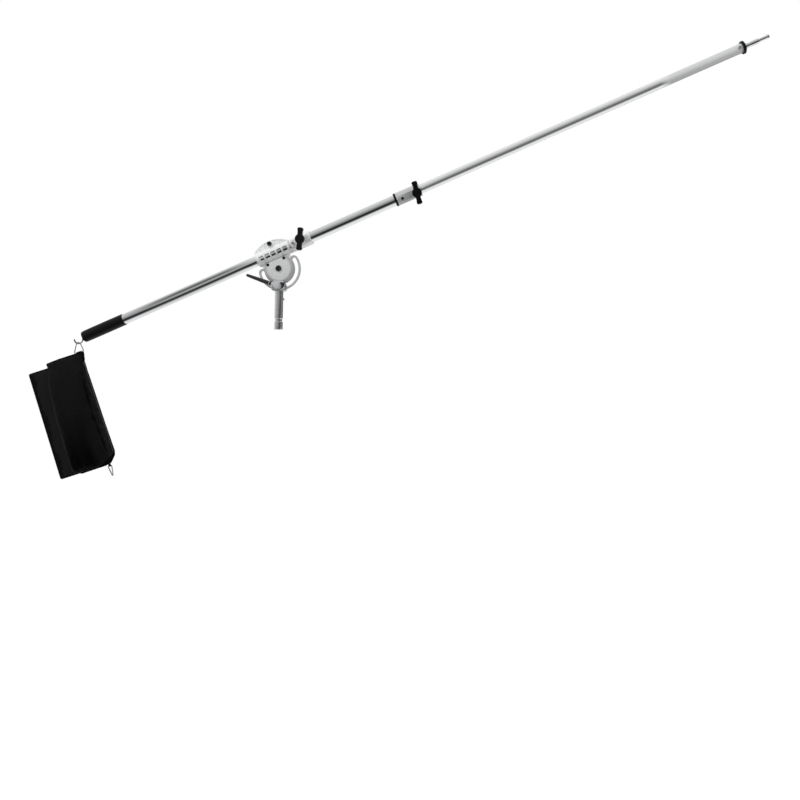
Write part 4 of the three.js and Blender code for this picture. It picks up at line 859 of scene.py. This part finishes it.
for name, place, patches, finish, body, node, slot, sharp in (
        ("side_set_screw", PIN.child((0, 0, 103)), [turned(set_screw, 0, 48)],
         ZINC, "yoke", "pin_set_screw", "zinc_steel", 32),
        ("tilt_bolt", PIVOT, [cap_screw(-14.1, (9, 7, 6), 35.7)], BLACK_STEEL, "yoke", "pivot_bolt", "black_steel", 32),
        ("tilt_nut", PIVOT, [domed_nut(15.6, 10, 6.3, 9)], ZINC, "yoke", "pivot_nut", "zinc_steel", 32),
        ("clamp_bolt_and_nut", CLAMP, [turned(clamp_nut, 1, 60), turned(clamp_shank, 1, 40)],
         ZINC, "yoke", "clamp_bolt", "zinc_steel", 32),
        ("clamp_ring_washer", CLAMP, [ring(-17.2, -15.6, 5.3, 11.5, 0.35, 0.35, 1, 64)],
         ZINC, "yoke", "clamp_washer", "zinc_steel", 38),
        ("cover_screw_rear", DISC_REAR, [cap_screw(DISC_FACE + 3.1, SMALL_SCREW, 11)],
         BLACK_STEEL, "tilt_head", "disc_screw_rear", "black_steel", 32),
        ("cover_screw_front", DISC_FRONT, [cap_screw(DISC_FACE + 3.1, SMALL_SCREW, 11)],
         BLACK_STEEL, "tilt_head", "disc_screw_front", "black_steel", 32),
        ("fan_cap_screw", FAN, [cap_screw(-8.6, (7.5, 7.7, 4), 20.5)],
         BLACK_STEEL, "tilt_head", "fan_screw", "black_steel", 32),
        ("fan_cap_nut", FAN, [domed_nut(8.6, 7.5, 4.3, 7)], ZINC, "tilt_head", "fan_nut", "zinc_steel", 32),
        ("brake_clamp_screw", BRAKE_SCREW_SPOT, [cap_screw(-28.6, SMALL_SCREW, 6)],
         ZINC, "tilt_head", "brake_collar_screw", "black_steel", 32),
        ("outer_chrome_tube", BOOM, [ring(-726.7, TUBE_FRONT, 16, TUBE_RADIUS, sides=192)],
         CHROME, "outer_boom", "outer_tube", "chrome_steel", 38),
        ("grip_cap", BOOM, [turned(grip_cap)], PLASTIC, "outer_boom", "grip_end_plug", "black_plastic", 50),
        ("clamp_end_ring", COLLAR, [ring(0, 7, 17.8, 22, outer=1.6)],
         RUBBER, "outer_boom", "collar_ring", "black_rubber", 38),
        ("tube_clamp_screw", COLLAR.child((COLLAR_SCREW, 0, 0)), [cap_screw(-26.4, SMALL_SCREW, 6)],
         BLACK_STEEL, "outer_boom", "collar_screw", "black_steel", 32),
        ("inner_chrome_tube", BOOM, [ring(INNER_REAR, INNER_END, 13.5, INNER_RADIUS, sides=192)],
         INNER_CHROME, "inner_boom", "inner_tube", "chrome_steel", 38),
        ("tip_stop_ring", BOOM, [ring(TIP_START, INNER_END, 15.2, 20.5, outer=1.8)],
         RUBBER, "inner_boom", "tip_ring", "black_rubber", 38),
        ("stepped_lamp_stud", BOOM, [shaft(stud, stud_edges)], CHROME, "inner_boom", "lamp_stud", "chrome_steel", 38),
        ("stud_fixing_screw", BOOM.child((INNER_END - 18, 0, 0)), [cap_screw(-15.3, SMALL_SCREW, 11)],
         ZINC, "inner_boom", "tip_screw", "zinc_steel", 32)):
    form = Form(place)
    for patch in patches:
        form.add(patch)
    form.build(name, finish, body, node, slot, sharp)


# Counterweight bag


RING_BASE, RING_HEIGHT, RING_CORNER, APEX = 37, 49, 4, 8


def apex_shift():
    """How far the ring's corners move so that the top arc's centre hangs under the hook."""
    left = -RING_BASE * 0.8
    corners = np.array([(0, 0), (left, -RING_HEIGHT), (left + RING_BASE, -RING_HEIGHT)], float)
    before, after = corners[1] - corners[0], corners[2] - corners[0]
    before, after = before / np.linalg.norm(before), after / np.linalg.norm(after)
    half = math.acos(before @ after) / 2
    middle = (before + after) / np.linalg.norm(before + after)
    centre = corners[0] + middle * APEX / math.sin(half)
    hang = math.radians(BAG_HANG)
    swing = -APEX * np.array([math.sin(hang), math.cos(hang)])
    return corners + swing - centre


RING_CORNERS = apex_shift()


def wire_ring(name, place, corners, radii, body, node):
    """A closed wire ring along rounded corners, with even points between them."""
    path = np.insert(rounded(corners, radii, 12, closed=True), 1, 0, axis=1)
    steps = np.linspace(0, 1, 4, endpoint=False)[None, :, None]
    path = (path[:, None] + (np.roll(path, -1, 0) - path)[:, None] * steps).reshape(-1, 3)
    apart = np.linalg.norm(np.roll(path, -1, 0) - path, axis=1) > 1e-4
    form = Form(place).add(swept(path[apart], circle(RING_WIRE + 0.35, 16), (0, 1, 0), closed=True))
    form.build(name, ZINC, body, node, "zinc_steel", 60)


wire_ring("bag_hanging_ring", BAG, RING_CORNERS, [APEX, RING_CORNER, RING_CORNER], "bag_ring", "bag_ring")
BAG_TOP, BAG_BOTTOM, BAG_RIGHT, BAG_LEFT, REAR_LEFT = -37, -439, 5, -139, -218
POUCH_PLANE, REAR_TOP, REAR_BOTTOM = 13.4, -52, -437
PULL = BAG.child((BAG_RIGHT - 30, 5.4, BAG_BOTTOM - 4.2), 2, 90)
wire_ring("bag_foot_ring", PULL, [(-15, 0), (15, 0), (0, -44)], 4, "pull_ring", "bag_pull_ring")


def hills(x, z, seed, scale, count=14):
    """Soft random hills: waves of seeded direction, length and phase, added up."""
    chance = np.random.default_rng(seed)
    angle, length = chance.uniform(0, math.pi, count), scale * chance.uniform(0.6, 1.6, count)
    phase = chance.uniform(0, 2 * math.pi, count)
    waves = np.sin(2 * math.pi * (x[..., None] * np.cos(angle) + z[..., None] * np.sin(angle)) / length + phase)
    return waves.sum(-1) / math.sqrt(count)


def boxy_loop(columns, power):
    """A closed loop as shares of a rectangle: across from minus one to one, and out from zero behind to one in
    front. A cosine and a sine raised to a small power give it nearly square corners."""
    angle = around(columns)[None]
    c, s = np.cos(angle), np.sin(angle)
    return np.sign(c) * np.abs(c) ** power, (1 - np.sign(s) * np.abs(s) ** power) / 2


def filled_shell(shares, power, left, right, rear, front, top, bottom):
    """A filled pouch as a loft. Left and right hold its widths behind and in front at shares of its height, rear and
    front its planes there, and top and bottom are lines across it. A boxy loop is spread between them."""
    rows, columns = 90, 160
    b = np.linspace(0, 1, rows)[:, None]
    across, out = boxy_loop(columns, power)
    at = lambda values: np.interp(b, shares, values)
    starts, ends = ((1 - out) * at(behind) + out * at(before) for behind, before in (left, right))
    x = starts + (ends - starts) * (across + 1) / 2
    y = at(rear) + (at(front) - at(rear)) * out
    high, low = (np.interp(x, *np.array(line, float).T) for line in (top, bottom))
    grid = np.stack([x, y, high + (low - high) * b], -1)
    lids = [np.repeat(grid[k:][:1].mean(1, keepdims=True), columns, 1) for k in (0, -1)]
    return woven(np.vstack([lids[0], grid, lids[1]]), around_columns=True)


def evaluated(piece):
    """The points, four-cornered faces and normals of an object with its modifiers worked out."""
    mesh = bpy.data.meshes.new_from_object(piece.evaluated_get(bpy.context.evaluated_depsgraph_get()))
    points, normals = (np.empty(len(mesh.vertices) * 3, np.float32) for _ in range(2))
    mesh.vertices.foreach_get("co", points)
    mesh.vertex_normals.foreach_get("vector", normals)
    corners = np.empty(len(mesh.loops), np.int32)
    mesh.loops.foreach_get("vertex_index", corners)
    bpy.data.meshes.remove(mesh)
    return points.reshape(-1, 3).astype(float), corners.reshape(-1, 4), normals.reshape(-1, 3).astype(float)


VOXEL, PRESSURE = 4.6, 4.0


def swollen(patch, held, cap):
    """A shell of cloth filled by simulation: its mesh is made even, points where held says so are pinned, pressure
    blows it up for twenty frames, and each point keeps at most the cap of its way. Then it is subdivided once."""
    points, faces = patch
    if enclosed(points, faces) < 0:
        faces = [block[:, ::-1] for block in faces]
    raw = new_object("raw_shell", new_mesh("raw_shell", points * MM, faces))
    even = raw.modifiers.new("even", "REMESH")
    even.mode, even.voxel_size = "VOXEL", VOXEL * MM
    start, quads, _ = evaluated(raw)
    cloth_piece = new_object("filled_shell", new_mesh("filled_shell", start, [quads]))
    moved = start
    pins = cloth_piece.vertex_groups.new(name="pins")
    pins.add(np.flatnonzero(held(*(start / MM).T)).tolist(), 1.0, "REPLACE")
    cloth = cloth_piece.modifiers.new("fill", "CLOTH")
    cloth.settings.vertex_group_mass = "pins"
    cloth.settings.use_pressure, cloth.settings.uniform_pressure_force = True, PRESSURE
    cloth.settings.effector_weights.gravity = 0
    cloth.point_cache.frame_start, cloth.point_cache.frame_end = 1, 20
    for count in range(1, 21):
        scene.frame_set(count)
    moved, _, _ = evaluated(cloth_piece)
    scene.frame_set(1)
    cloth_piece.modifiers.remove(cloth)
    way = moved - start
    length = np.maximum(np.linalg.norm(way, axis=1), 1e-9)[:, None]
    start = start + way / length * cap * MM * np.tanh(length / (cap * MM))
    cloth_piece.data.vertices.foreach_set("co", start.astype(np.float32).ravel())
    cloth_piece.data.update()
    finer = cloth_piece.modifiers.new("finer", "SUBSURF")
    finer.levels = finer.render_levels = 1
    result = evaluated(cloth_piece)
    for piece in (raw, cloth_piece):
        bpy.data.objects.remove(piece)
    return result[0] / MM, result[1], result[2]


class Cloth:
    """A simulated pouch in the bag's frame, in millimetres, that takes folds and tells where its surface is."""

    def __init__(self, patch, held, cap):
        self.points, self.faces, self.normals = swollen(patch, held, cap)

    def push(self, outward):
        """Each point moved along its normal."""
        self.points = self.points + self.normals * np.asarray(outward)[:, None]
        return self

    def nearest(self, x, z, facing):
        """The surface points and normals nearest to places seen along Y, on the side that faces that way."""
        side = self.normals[:, 1] * facing > 0.25
        points, normals = self.points[side], self.normals[side]
        flat = points[:, [0, 2]]
        spots = np.stack([np.asarray(x, float), np.asarray(z, float)], 1)
        order = np.concatenate([((part[:, None] - flat[None]) ** 2).sum(-1).argmin(1)
                                for part in np.array_split(spots, 8)])
        return points[order], normals[order]

    def build(self, name, finish, node, fill):
        form = Form(BAG).add((self.points, [self.faces]))
        piece = form.build(name, finish, "bag", node, "bag_fabric", 180)
        return piece


def front_pouch():
    """The front pouch: deep and filled low down, thin at its top hem, rounded off at its bottom right corner. Its
    folds, ridges, hollows and puckers are soft bells and waves across the front and down the right wall."""
    shell = filled_shell(
        [0, 0.06, 0.10, 0.16, 0.28, 0.40, 0.55, 0.73, 0.85, 0.92, 0.965, 1.0], 0.36,
        left=([BAG_LEFT + 1.0] * 12, [-138, -138, -139, -141, -142.5, -143, -143, -143, -143, -143, -142.5, -141]),
        right=([4.5, -6, -7, -7.5, -5.5, -4, -2.5, 0, 2, 2.5, 2, 1], [3, -4, -5, -6, -6, -5, -4, 0, 4, 4, 2, 0]),
        rear=[9, 11.5, 12.5, 12.6, 12.6, 12.6, 12.6, 12.6, 12.6, 12.6, 12.4, 11],
        front=[1, -9, -18, -30, -43, -50, -53.5, -55, -55, -53, -47, -30],
        top=[(-142, BAG_TOP - 2), (-90, BAG_TOP + 1), (-32, BAG_TOP + 1), (-10, BAG_TOP + 3), (6, BAG_TOP + 4)],
        bottom=[(-142, -437.5), (-60, -436.5), (-38, -434), (-22, -428), (-8, -418), (2, -404), (6, -390)])
    cloth = Cloth(shell, lambda x, y, z: (y > 8) | (z > BAG_TOP - 7) | (z < -431), cap=5.0)
    cloth.points[:, 1] = np.minimum(cloth.points[:, 1], POUCH_PLANE)
    x, y, z = cloth.points.T
    nx, ny, _ = cloth.normals.T
    down = (BAG_TOP - z) / 402
    faces_front = ease(-ny, 0.15, 0.7)
    corner = np.interp(z, [-440, -360, -300, -270, -185, -145, -90], [8, 4, 1, -4, -4, -10, -13])
    edge = np.interp(z, [-441, -410, -380, -330, -260, -200, -150, -100, -60],
                     [0, -40, -50, -52, -51, -46, -39, -25, -6])
    wander = 1.3 * np.sin(z / 17) + 0.7 * np.sin(z / 7.3 + 1)
    along = ease(down, 0.07, 0.2) * (1 - 0.85 * ease(down, 0.82, 0.93))
    gap = 1 - 0.5 * bump(z + 284, 7) + 0.35 * bump(z + 318, 26)
    reach = np.hypot(x - corner + 2.5 + wander * 0.6, y - edge - 7 - wander)
    folds = (2.4 * bump(reach - 9.5, 4) - 13.5 * bump(reach, 4.6)) * along * gap * (1 + 0.12 * np.sin(z / 11))
    ridge = 1.6 * bump(x - corner + 17, 7) * faces_front * along
    hollow = -3.2 * bump(x + 52, 24) * faces_front * ease(down, 0.55, 0.8) * (1 - ease(down, 0.93, 1.0))
    left_hollow = -2.4 * bump(x + 104 - 8 * down, 13) * faces_front * ease(down, 0.2, 0.4)
    left_ridge = 2.0 * bump(x + 130, 11) * ease(-ny, -0.2, 0.5) * ease(down, 0.15, 0.4)
    pucker = 0.8 * np.cos(2 * math.pi * x / 15 + 2 * np.sin(x / 23)) * bump(down - 0.05, 0.04) * faces_front
    low = 0.9 * np.cos(2 * math.pi * x / 21 + 1) * bump(down - 0.95, 0.04) * faces_front
    lumps = 1.5 * (np.sin(z / 7.5) + 0.7 * np.sin(z / 4.1 + 2)) * bump(y + 22, 12) * ease(nx, 0.4, 0.8) * along
    soft = (0.8 * hills(x + y, z * 0.4, 7, 62) + 0.25 * hills(x, z, 8, 22)) * ease(np.abs(ny), 0.0, 0.4) * (ny < 0.3)
    cloth.push(folds + ridge + hollow + left_hollow + left_ridge + pucker + lumps + low + soft)
    cloth.points[:, 1] = np.minimum(cloth.points[:, 1], POUCH_PLANE)
    cloth.build("front_sand_pouch", CLOTH, "bag_front_pouch", 0.75)
    return cloth


def rear_pouch():
    """The wider, flatter pouch behind, sewn thin along its edges and drawn in to the seam on the right."""
    left, right = [REAR_LEFT + 1.5] * 7, [1, -6, -9, -5, 1, -6, -20]
    shell = filled_shell([0, 0.03, 0.12, 0.5, 0.9, 0.97, 1.0], 0.5, left=(left, left), right=(right, right),
                         rear=[21, 24, 29, 30.5, 30, 25, 21], front=[14.8, 14.8, 14.9, 14.9, 14.9, 14.8, 14.8],
                         top=[(REAR_LEFT, REAR_TOP - 0.5)],
                         bottom=[(REAR_LEFT, REAR_BOTTOM + 0.5), (-40, REAR_BOTTOM + 2), (-20, REAR_BOTTOM + 6),
                                 (5, REAR_BOTTOM + 26)])
    hems = lambda x, y, z: (x < REAR_LEFT + 6) | (x > -14) | (z > REAR_TOP - 6) | (z < REAR_BOTTOM + 6)
    cloth = Cloth(shell, hems, cap=4.0)
    x, _, z = cloth.points.T
    rim = np.minimum.reduce([x - REAR_LEFT, REAR_TOP - z, z - REAR_BOTTOM])
    seam = -0.9 * bump(rim - 9, 2.2) * (cloth.normals[:, 1] < 0)
    ripple = 0.5 * np.cos(2 * math.pi * z / 26 + np.sin(z / 31)) * bump(x - REAR_LEFT - 12, 9)
    cloth.push(seam + (0.9 * hills(x, z * 0.6, 3, 70) + ripple) * ease(rim, 2, 14) * 0.9)
    cloth.points[:, 1] = np.maximum(cloth.points[:, 1], 14.3)
    cloth.build("rear_sand_pouch", REAR_CLOTH, "bag_rear_pouch", 0.4)
    return cloth


FRONT = front_pouch()
REAR = rear_pouch()


def spaced(corners, gap, radius=3, closed=False):
    """A line of corners with rounded turns, as points at even gaps along it."""
    line = rounded(corners, radius, 8, closed)
    line = np.vstack([line, line[:1]]) if closed else line
    way = np.concatenate([[0], np.cumsum(np.linalg.norm(np.diff(line, axis=0), axis=1))])
    at = np.linspace(0, way[-1], max(2, int(way[-1] / gap) + 1))
    return np.stack([np.interp(at, way, line[:, 0]), np.interp(at, way, line[:, 1])], 1)


def edge_tapes():
    """Tapes bound over the seams of both pouches, as flattened tubes, and the panels that they hold behind."""
    front = spaced([(BAG_LEFT, BAG_TOP - 1), (-90, BAG_TOP + 2), (-32, BAG_TOP + 2), (-10, BAG_TOP + 4),
                    (BAG_RIGHT, BAG_TOP + 5), (-7, -66), (-7, -110), (-2, -300), (3, -390), (0, -410), (-18, -429),
                    (-40, -436.5), (BAG_LEFT, BAG_BOTTOM)],
                   4, [2, 40, 20, 20, 2, 12, 30, 30, 12, 12, 16, 20, 3], True)[:-1]
    rear = spaced([(REAR_LEFT, REAR_TOP), (-9, REAR_TOP), (-11, -80), (-8, -120), (-3, -300), (1, -400),
                   (-24, REAR_BOTTOM + 3), (REAR_LEFT, REAR_BOTTOM)], 4, [3, 3, 12, 30, 30, 16, 16, 3], True)[:-1]
    lift = lambda z, middle: np.interp(z, [-440, -430, -60, -44, BAG_TOP], [11.6, middle, middle, 9.5, 5.5])
    panel, faces = pressed(front, -0.8, 0.8, 0.3)
    panel[:, 1] += lift(panel[:, 2], 12.2)
    form = Form(BAG)
    front_path = np.insert(front, 1, lift(front[:, 1], 12.4), axis=1)
    form.add(swept(front_path, strip(2.6, 5.0, 1.1, 4), (0, 1, 0), closed=True))
    form.add((panel, faces), mark=1)
    form.add(swept(np.insert(rear, 1, 17.8, axis=1), strip(3.0, 4.6, 1.1, 4), (0, 1, 0), closed=True))
    form.add(pressed(rear, 17.0, 18.6, 0.3), mark=1)
    form.build("bag_edge_tapes", [BINDING, CLOTH], "bag", (), "bag_fabric", 70)


BLOCK_FACES = np.array([(3, 2, 1, 0), (4, 5, 6, 7), (0, 1, 5, 4), (1, 2, 6, 5), (2, 3, 7, 6), (3, 0, 4, 7)])


def blocks(corners):
    """Many six-faced blocks as one patch, from the eight corners of each."""
    faces = BLOCK_FACES + 8 * np.arange(len(corners))[:, None, None]
    return corners.reshape(-1, 3), [faces.reshape(-1, 4)]


def stitches(places, outward, length=3.0, thick=0.55):
    """Stitches along a row of surface points: each a small block laid along the row, half sunk in."""
    ahead = np.gradient(places, axis=0)
    ahead /= np.maximum(np.linalg.norm(ahead, axis=1), 1e-9)[:, None]
    outward = outward / np.linalg.norm(outward, axis=1)[:, None]
    axes = np.stack([length * ahead, thick * np.cross(ahead, outward), thick * outward], 1)
    block = np.array([(-1, -1, -0.6), (1, -1, -0.6), (1, 1, -0.6), (-1, 1, -0.6),
                      (-0.8, -0.7, 1), (0.8, -0.7, 1), (0.8, 0.7, 1), (-0.8, 0.7, 1)]) / 2
    return blocks(places[:, None] + block @ axes)


def seams():
    """Double rows of stitches inside the hems of both pouches, laid on the simulated cloth."""
    rows = [(FRONT, [(BAG_LEFT + 5, BAG_TOP - hem), (BAG_RIGHT - 8, BAG_TOP - hem)]) for hem in (6, 11)]
    rows += [(FRONT, [(BAG_LEFT + 6, BAG_BOTTOM + hem), (-48, BAG_BOTTOM + hem + 2)]) for hem in (9, 14)]
    rows += [(REAR, [(BAG_LEFT - 5, REAR_TOP - hem), (REAR_LEFT + hem, REAR_TOP - hem),
                     (REAR_LEFT + hem, REAR_BOTTOM + hem), (BAG_LEFT - 5, REAR_BOTTOM + hem)]) for hem in (6, 10.5)]
    form = Form(BAG)
    for cloth, corners in rows:
        line = spaced(corners, 4.4)
        places, outward = cloth.nearest(line[:, 0], line[:, 1], -1)
        places[:, 0], places[:, 2] = line[:, 0], line[:, 1]
        form.add(stitches(places, outward))
    form.build("bag_seam_stitches", THREAD, "bag", (), "bag_fabric", 60)


def zip_side():
    """The zip down the right wall: its tape, two rows of interleaved teeth, the slider and its pull."""
    heights = np.linspace(-70, -404, 160)
    beside = (FRONT.normals[:, 0] > 0.3) & (np.abs(FRONT.points[:, 1] + 2) < 5) & (FRONT.points[:, 0] > -40)
    order = np.argsort(FRONT.points[beside, 2])
    near_x, near_z = (np.convolve(FRONT.points[beside, k][order], np.ones(9) / 9, "valid") for k in (0, 2))
    wall = np.interp(heights, near_z, near_x)
    path = np.stack([wall + 0.4, -1.0 + 1.2 * np.sin(heights / 29) + 0.5 * np.sin(heights / 9), heights], 1)
    tape = Form(BAG).add(swept(path, strip(22, 1.6), (0, 1, 0)))
    tape.build("zip_tape", CLOTH, "bag", "bag_zip_gusset", "bag_fabric", 60)
    spots = np.arange(-74, -400, -2.4)
    along, depth = (np.interp(spots, heights[::-1], path[::-1, k]) for k in (0, 1))
    tooth = np.array([(-0.9, -2.6, -0.75), (1.1, -2.6, -0.6), (1.1, 1.2, -0.6), (-0.9, 1.6, -0.75),
                      (-0.9, -2.6, 0.75), (1.1, -2.6, 0.6), (1.1, 1.2, 0.6), (-0.9, 1.6, 0.75)])
    teeth = Form(BAG)
    for row, shift in ((1, 0), (-1, 1.2)):
        places = np.stack([along + 1.2, depth, spots + shift], 1)
        teeth.add(blocks(tooth * (1, row, 1) + places[:, None]))
    slider = BAG.child((float(np.interp(-80, heights[::-1], wall[::-1])) + 2.4, -1.0, -80))
    body = rounded([(-1.6, -6), (1.8, -6), (1.8, 6), (-1.6, 6)], 1.2, 4, closed=True)
    pull = rounded([(1.4, -24), (3.0, -24), (3.0, 2), (1.4, 2)], 0.7, 3, closed=True)
    teeth.add(pressed(body, -4.6, 4.6, 1.2), slider).add(pressed(pull, -2.6, 2.6, 0.7), slider)
    teeth.build("zip_teeth_and_slider", TEETH, "bag", (), "bag_fabric", 40)


def webbing_loop(name, place, width, drop, node):
    """A webbing strap folded over a ring's bar: round the bar, then both tails down side by side to the hem."""
    tail = np.array([(1.5, -2.4), (1.0, -drop * 0.33), (1.0, -drop * 0.66), (1.0, -drop)])
    bend = arc((0, 0), RING_WIRE + 0.9, -20, 200, 24)[2:-2]
    line = smoothed(np.vstack([tail[::-1], bend, tail * (-1, 1)]), 4)
    form = Form(place).add(swept(np.insert(line, 0, 0, axis=1), strip(width, 1.4), (1, 0, 0)))
    form.build(name, WEBBING, "bag", node, "bag_fabric", 60)


edge_tapes()
seams()
zip_side()
BAR = BAG.child(((RING_CORNERS[1] + RING_CORNERS[2])[0] / 2, 0, RING_CORNERS[1][1]))
webbing_loop("hanging_strap", BAR, 18, RING_CORNERS[1][1] - BAG_TOP + 12, "bag_hanging_loop")
webbing_loop("foot_strap", PULL, 14, -12, "bag_lower_loop")


# Solids that stay inside other pieces


for name in ("sleeve_bush_rear", "sleeve_bush_front", "telescope_bush", "inner_rear_plug"):
    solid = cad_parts[name]
    if not solid.material_slots:
        solid.data.materials.append(NYLON)
    for holder in solid.material_slots:
        holder.material = NYLON


# Camera, floor, background and light


PHOTO_WIDTH, SENSOR_WIDTH = 800, 36


def set_camera(focal, yaw, pitch, roll, aim, distance):
    """A level sight line turned by yaw and pitch, the frame turned by roll, at a distance from the aim point."""
    yaw, pitch, roll = (math.radians(a) for a in (yaw, pitch, roll))
    sight = np.array([math.sin(yaw) * math.cos(pitch), math.cos(yaw) * math.cos(pitch), math.sin(pitch)])
    level = np.array([math.cos(yaw), -math.sin(yaw), 0.0])
    above = np.cross(level, sight)
    right = level * math.cos(roll) + above * math.sin(roll)
    up = above * math.cos(roll) - level * math.sin(roll)
    stand = (np.array(aim) - distance * sight) * MM
    data = bpy.data.cameras.new("camera")
    data.sensor_width, data.lens, data.clip_end = SENSOR_WIDTH, focal * SENSOR_WIDTH / PHOTO_WIDTH, 60
    camera = new_object("camera", data)
    matrix = np.eye(4)
    matrix[:3] = np.column_stack([right, up, -sight, stand])
    camera.matrix_world = Matrix(matrix.tolist())
    scene.camera = camera


def sky(look, normal):
    """The light that reaches rough surfaces: brightest from above, even round the horizon, weak from below."""
    _, _, z = look.parts(normal)
    return look.ramp(look.level(z, -1, 1), [(0.0, 0.30), (0.30, 0.44), (0.5, 0.82), (0.7, 1.0), (1.0, 1.08)])


def mirrored_sky(look, normal):
    """What polished surfaces mirror: strips of light and dark along the boom, told by the angle about its axis.
    Ways that lean back to the left have a second dark strip above, and dark ground lies where a way is level."""
    rise, axial = (look.node("ShaderNodeVectorMath", {0: normal, 1: HEAD.turn[:, k].tolist()}, 1,
                             operation="DOT_PRODUCT") for k in (2, 0))
    _, y, z = look.parts(normal)
    share = look.level(look.math("ARCTAN2", rise, 0 - y), -math.pi, math.pi)
    at = lambda table: [((degrees + 180) / 360, tone) for degrees, tone in table]
    right = look.ramp(share, at([
        (-180, 0.70), (-135, 0.92), (-104, 0.93), (-89, 0.86), (-75, 0.66), (-63, 0.34), (-52, 0.09), (-40, 0.012),
        (-24, 0.008), (-15, 0.05), (-5, 0.13), (5, 0.23), (17, 0.34), (41, 0.49), (67, 0.62), (100, 0.74),
        (178, 0.70)]))
    left = look.ramp(share, at([
        (-180, 0.66), (-135, 0.84), (-104, 0.76), (-89, 0.66), (-75, 0.44), (-63, 0.22), (-52, 0.06), (-40, 0.014),
        (-28, 0.02), (-16, 0.15), (-4, 0.34), (6, 0.42), (20, 0.34), (36, 0.10), (56, 0.09), (78, 0.34), (110, 0.66),
        (178, 0.66)]))
    lean = look.level(axial, -0.20, -0.25) * look.level(axial, -0.46, -0.38)
    glow = look.level(axial, -0.135, -0.155) * look.level(axial, -0.21, -0.198) * look.level(share, 0.45, 0.50) * 0.42
    banded = look.mix(lean, look.mix(glow, right, (1.0, 1.0, 1.0)), left)
    level_ground = look.level(z, -0.30, -0.12) * look.level(share, 0.32, 0.26)
    return look.mix(level_ground, banded, (0.14, 0.14, 0.14))


FLOOR_RADIUS, FLOOR_HEIGHT = 14, -2.4


def studio():
    """A wide pale floor under a pale sky; mirrors see the strips, rough surfaces the soft light, the camera white."""
    floor = Finish("pale_floor", Specular_IOR_Level=0.0)
    grain = floor.noise(floor.position(PIN), 0.004, 2)
    floor.paint(Base_Color=floor.mix(grain, (0.985, 0.985, 0.985), (0.995, 0.995, 0.995)), Roughness=0.9)
    x, y = FLOOR_RADIUS * np.cos(around(64)) + 0.4, FLOOR_RADIUS * np.sin(around(64))
    mesh = new_mesh("floor", np.stack([x, y, np.full(64, FLOOR_HEIGHT)], 1), [np.arange(64)[None]])
    mesh.materials.append(floor.material)
    ground = new_object("floor", mesh)
    ground.visible_glossy = ground.visible_diffuse = False
    world = scene.world = bpy.data.worlds.new("studio")
    world.use_nodes = True
    look = Nodes(world.node_tree)
    background = look.tree.nodes["Background"]
    rays = look.tree.nodes.new("ShaderNodeLightPath")
    normal = look.node("ShaderNodeTexCoord", output=0)
    glossy, direct = (Value(look, rays.outputs[name]) for name in ("Is Glossy Ray", "Is Camera Ray"))
    seen = look.mix(glossy, sky(look, normal), mirrored_sky(look, normal))
    look.feed(background.inputs["Color"], look.mix(direct, seen, (1.0, 1.0, 1.0)))
    background.inputs["Strength"].default_value = 1.0


def soft_light(name, place, aim, size, power):
    """A square soft box looking at a point; the tubes don't mirror it."""
    data = bpy.data.lights.new(name, "AREA")
    data.shape, data.size, data.energy = "SQUARE", size, power
    lamp = new_object(name, data)
    way = (Vector(aim) - Vector(place)).normalized()
    lamp.matrix_world = Matrix.Translation(place) @ way.to_track_quat("-Z", "Y").to_matrix().to_4x4()
    lamp.visible_glossy = False


set_camera(850, -5.972, -2.537, 1.573, (421.8, 0, -226.0), 2853.4)
studio()
soft_light("key", (-2.2, -2.6, 3.0), (0.2, 0, 0.1), 2.2, 90)
soft_light("fill", (3.4, -2.4, 1.2), (0.2, 0, 0.1), 2.6, 36)
scene.view_settings.view_transform = "Standard"
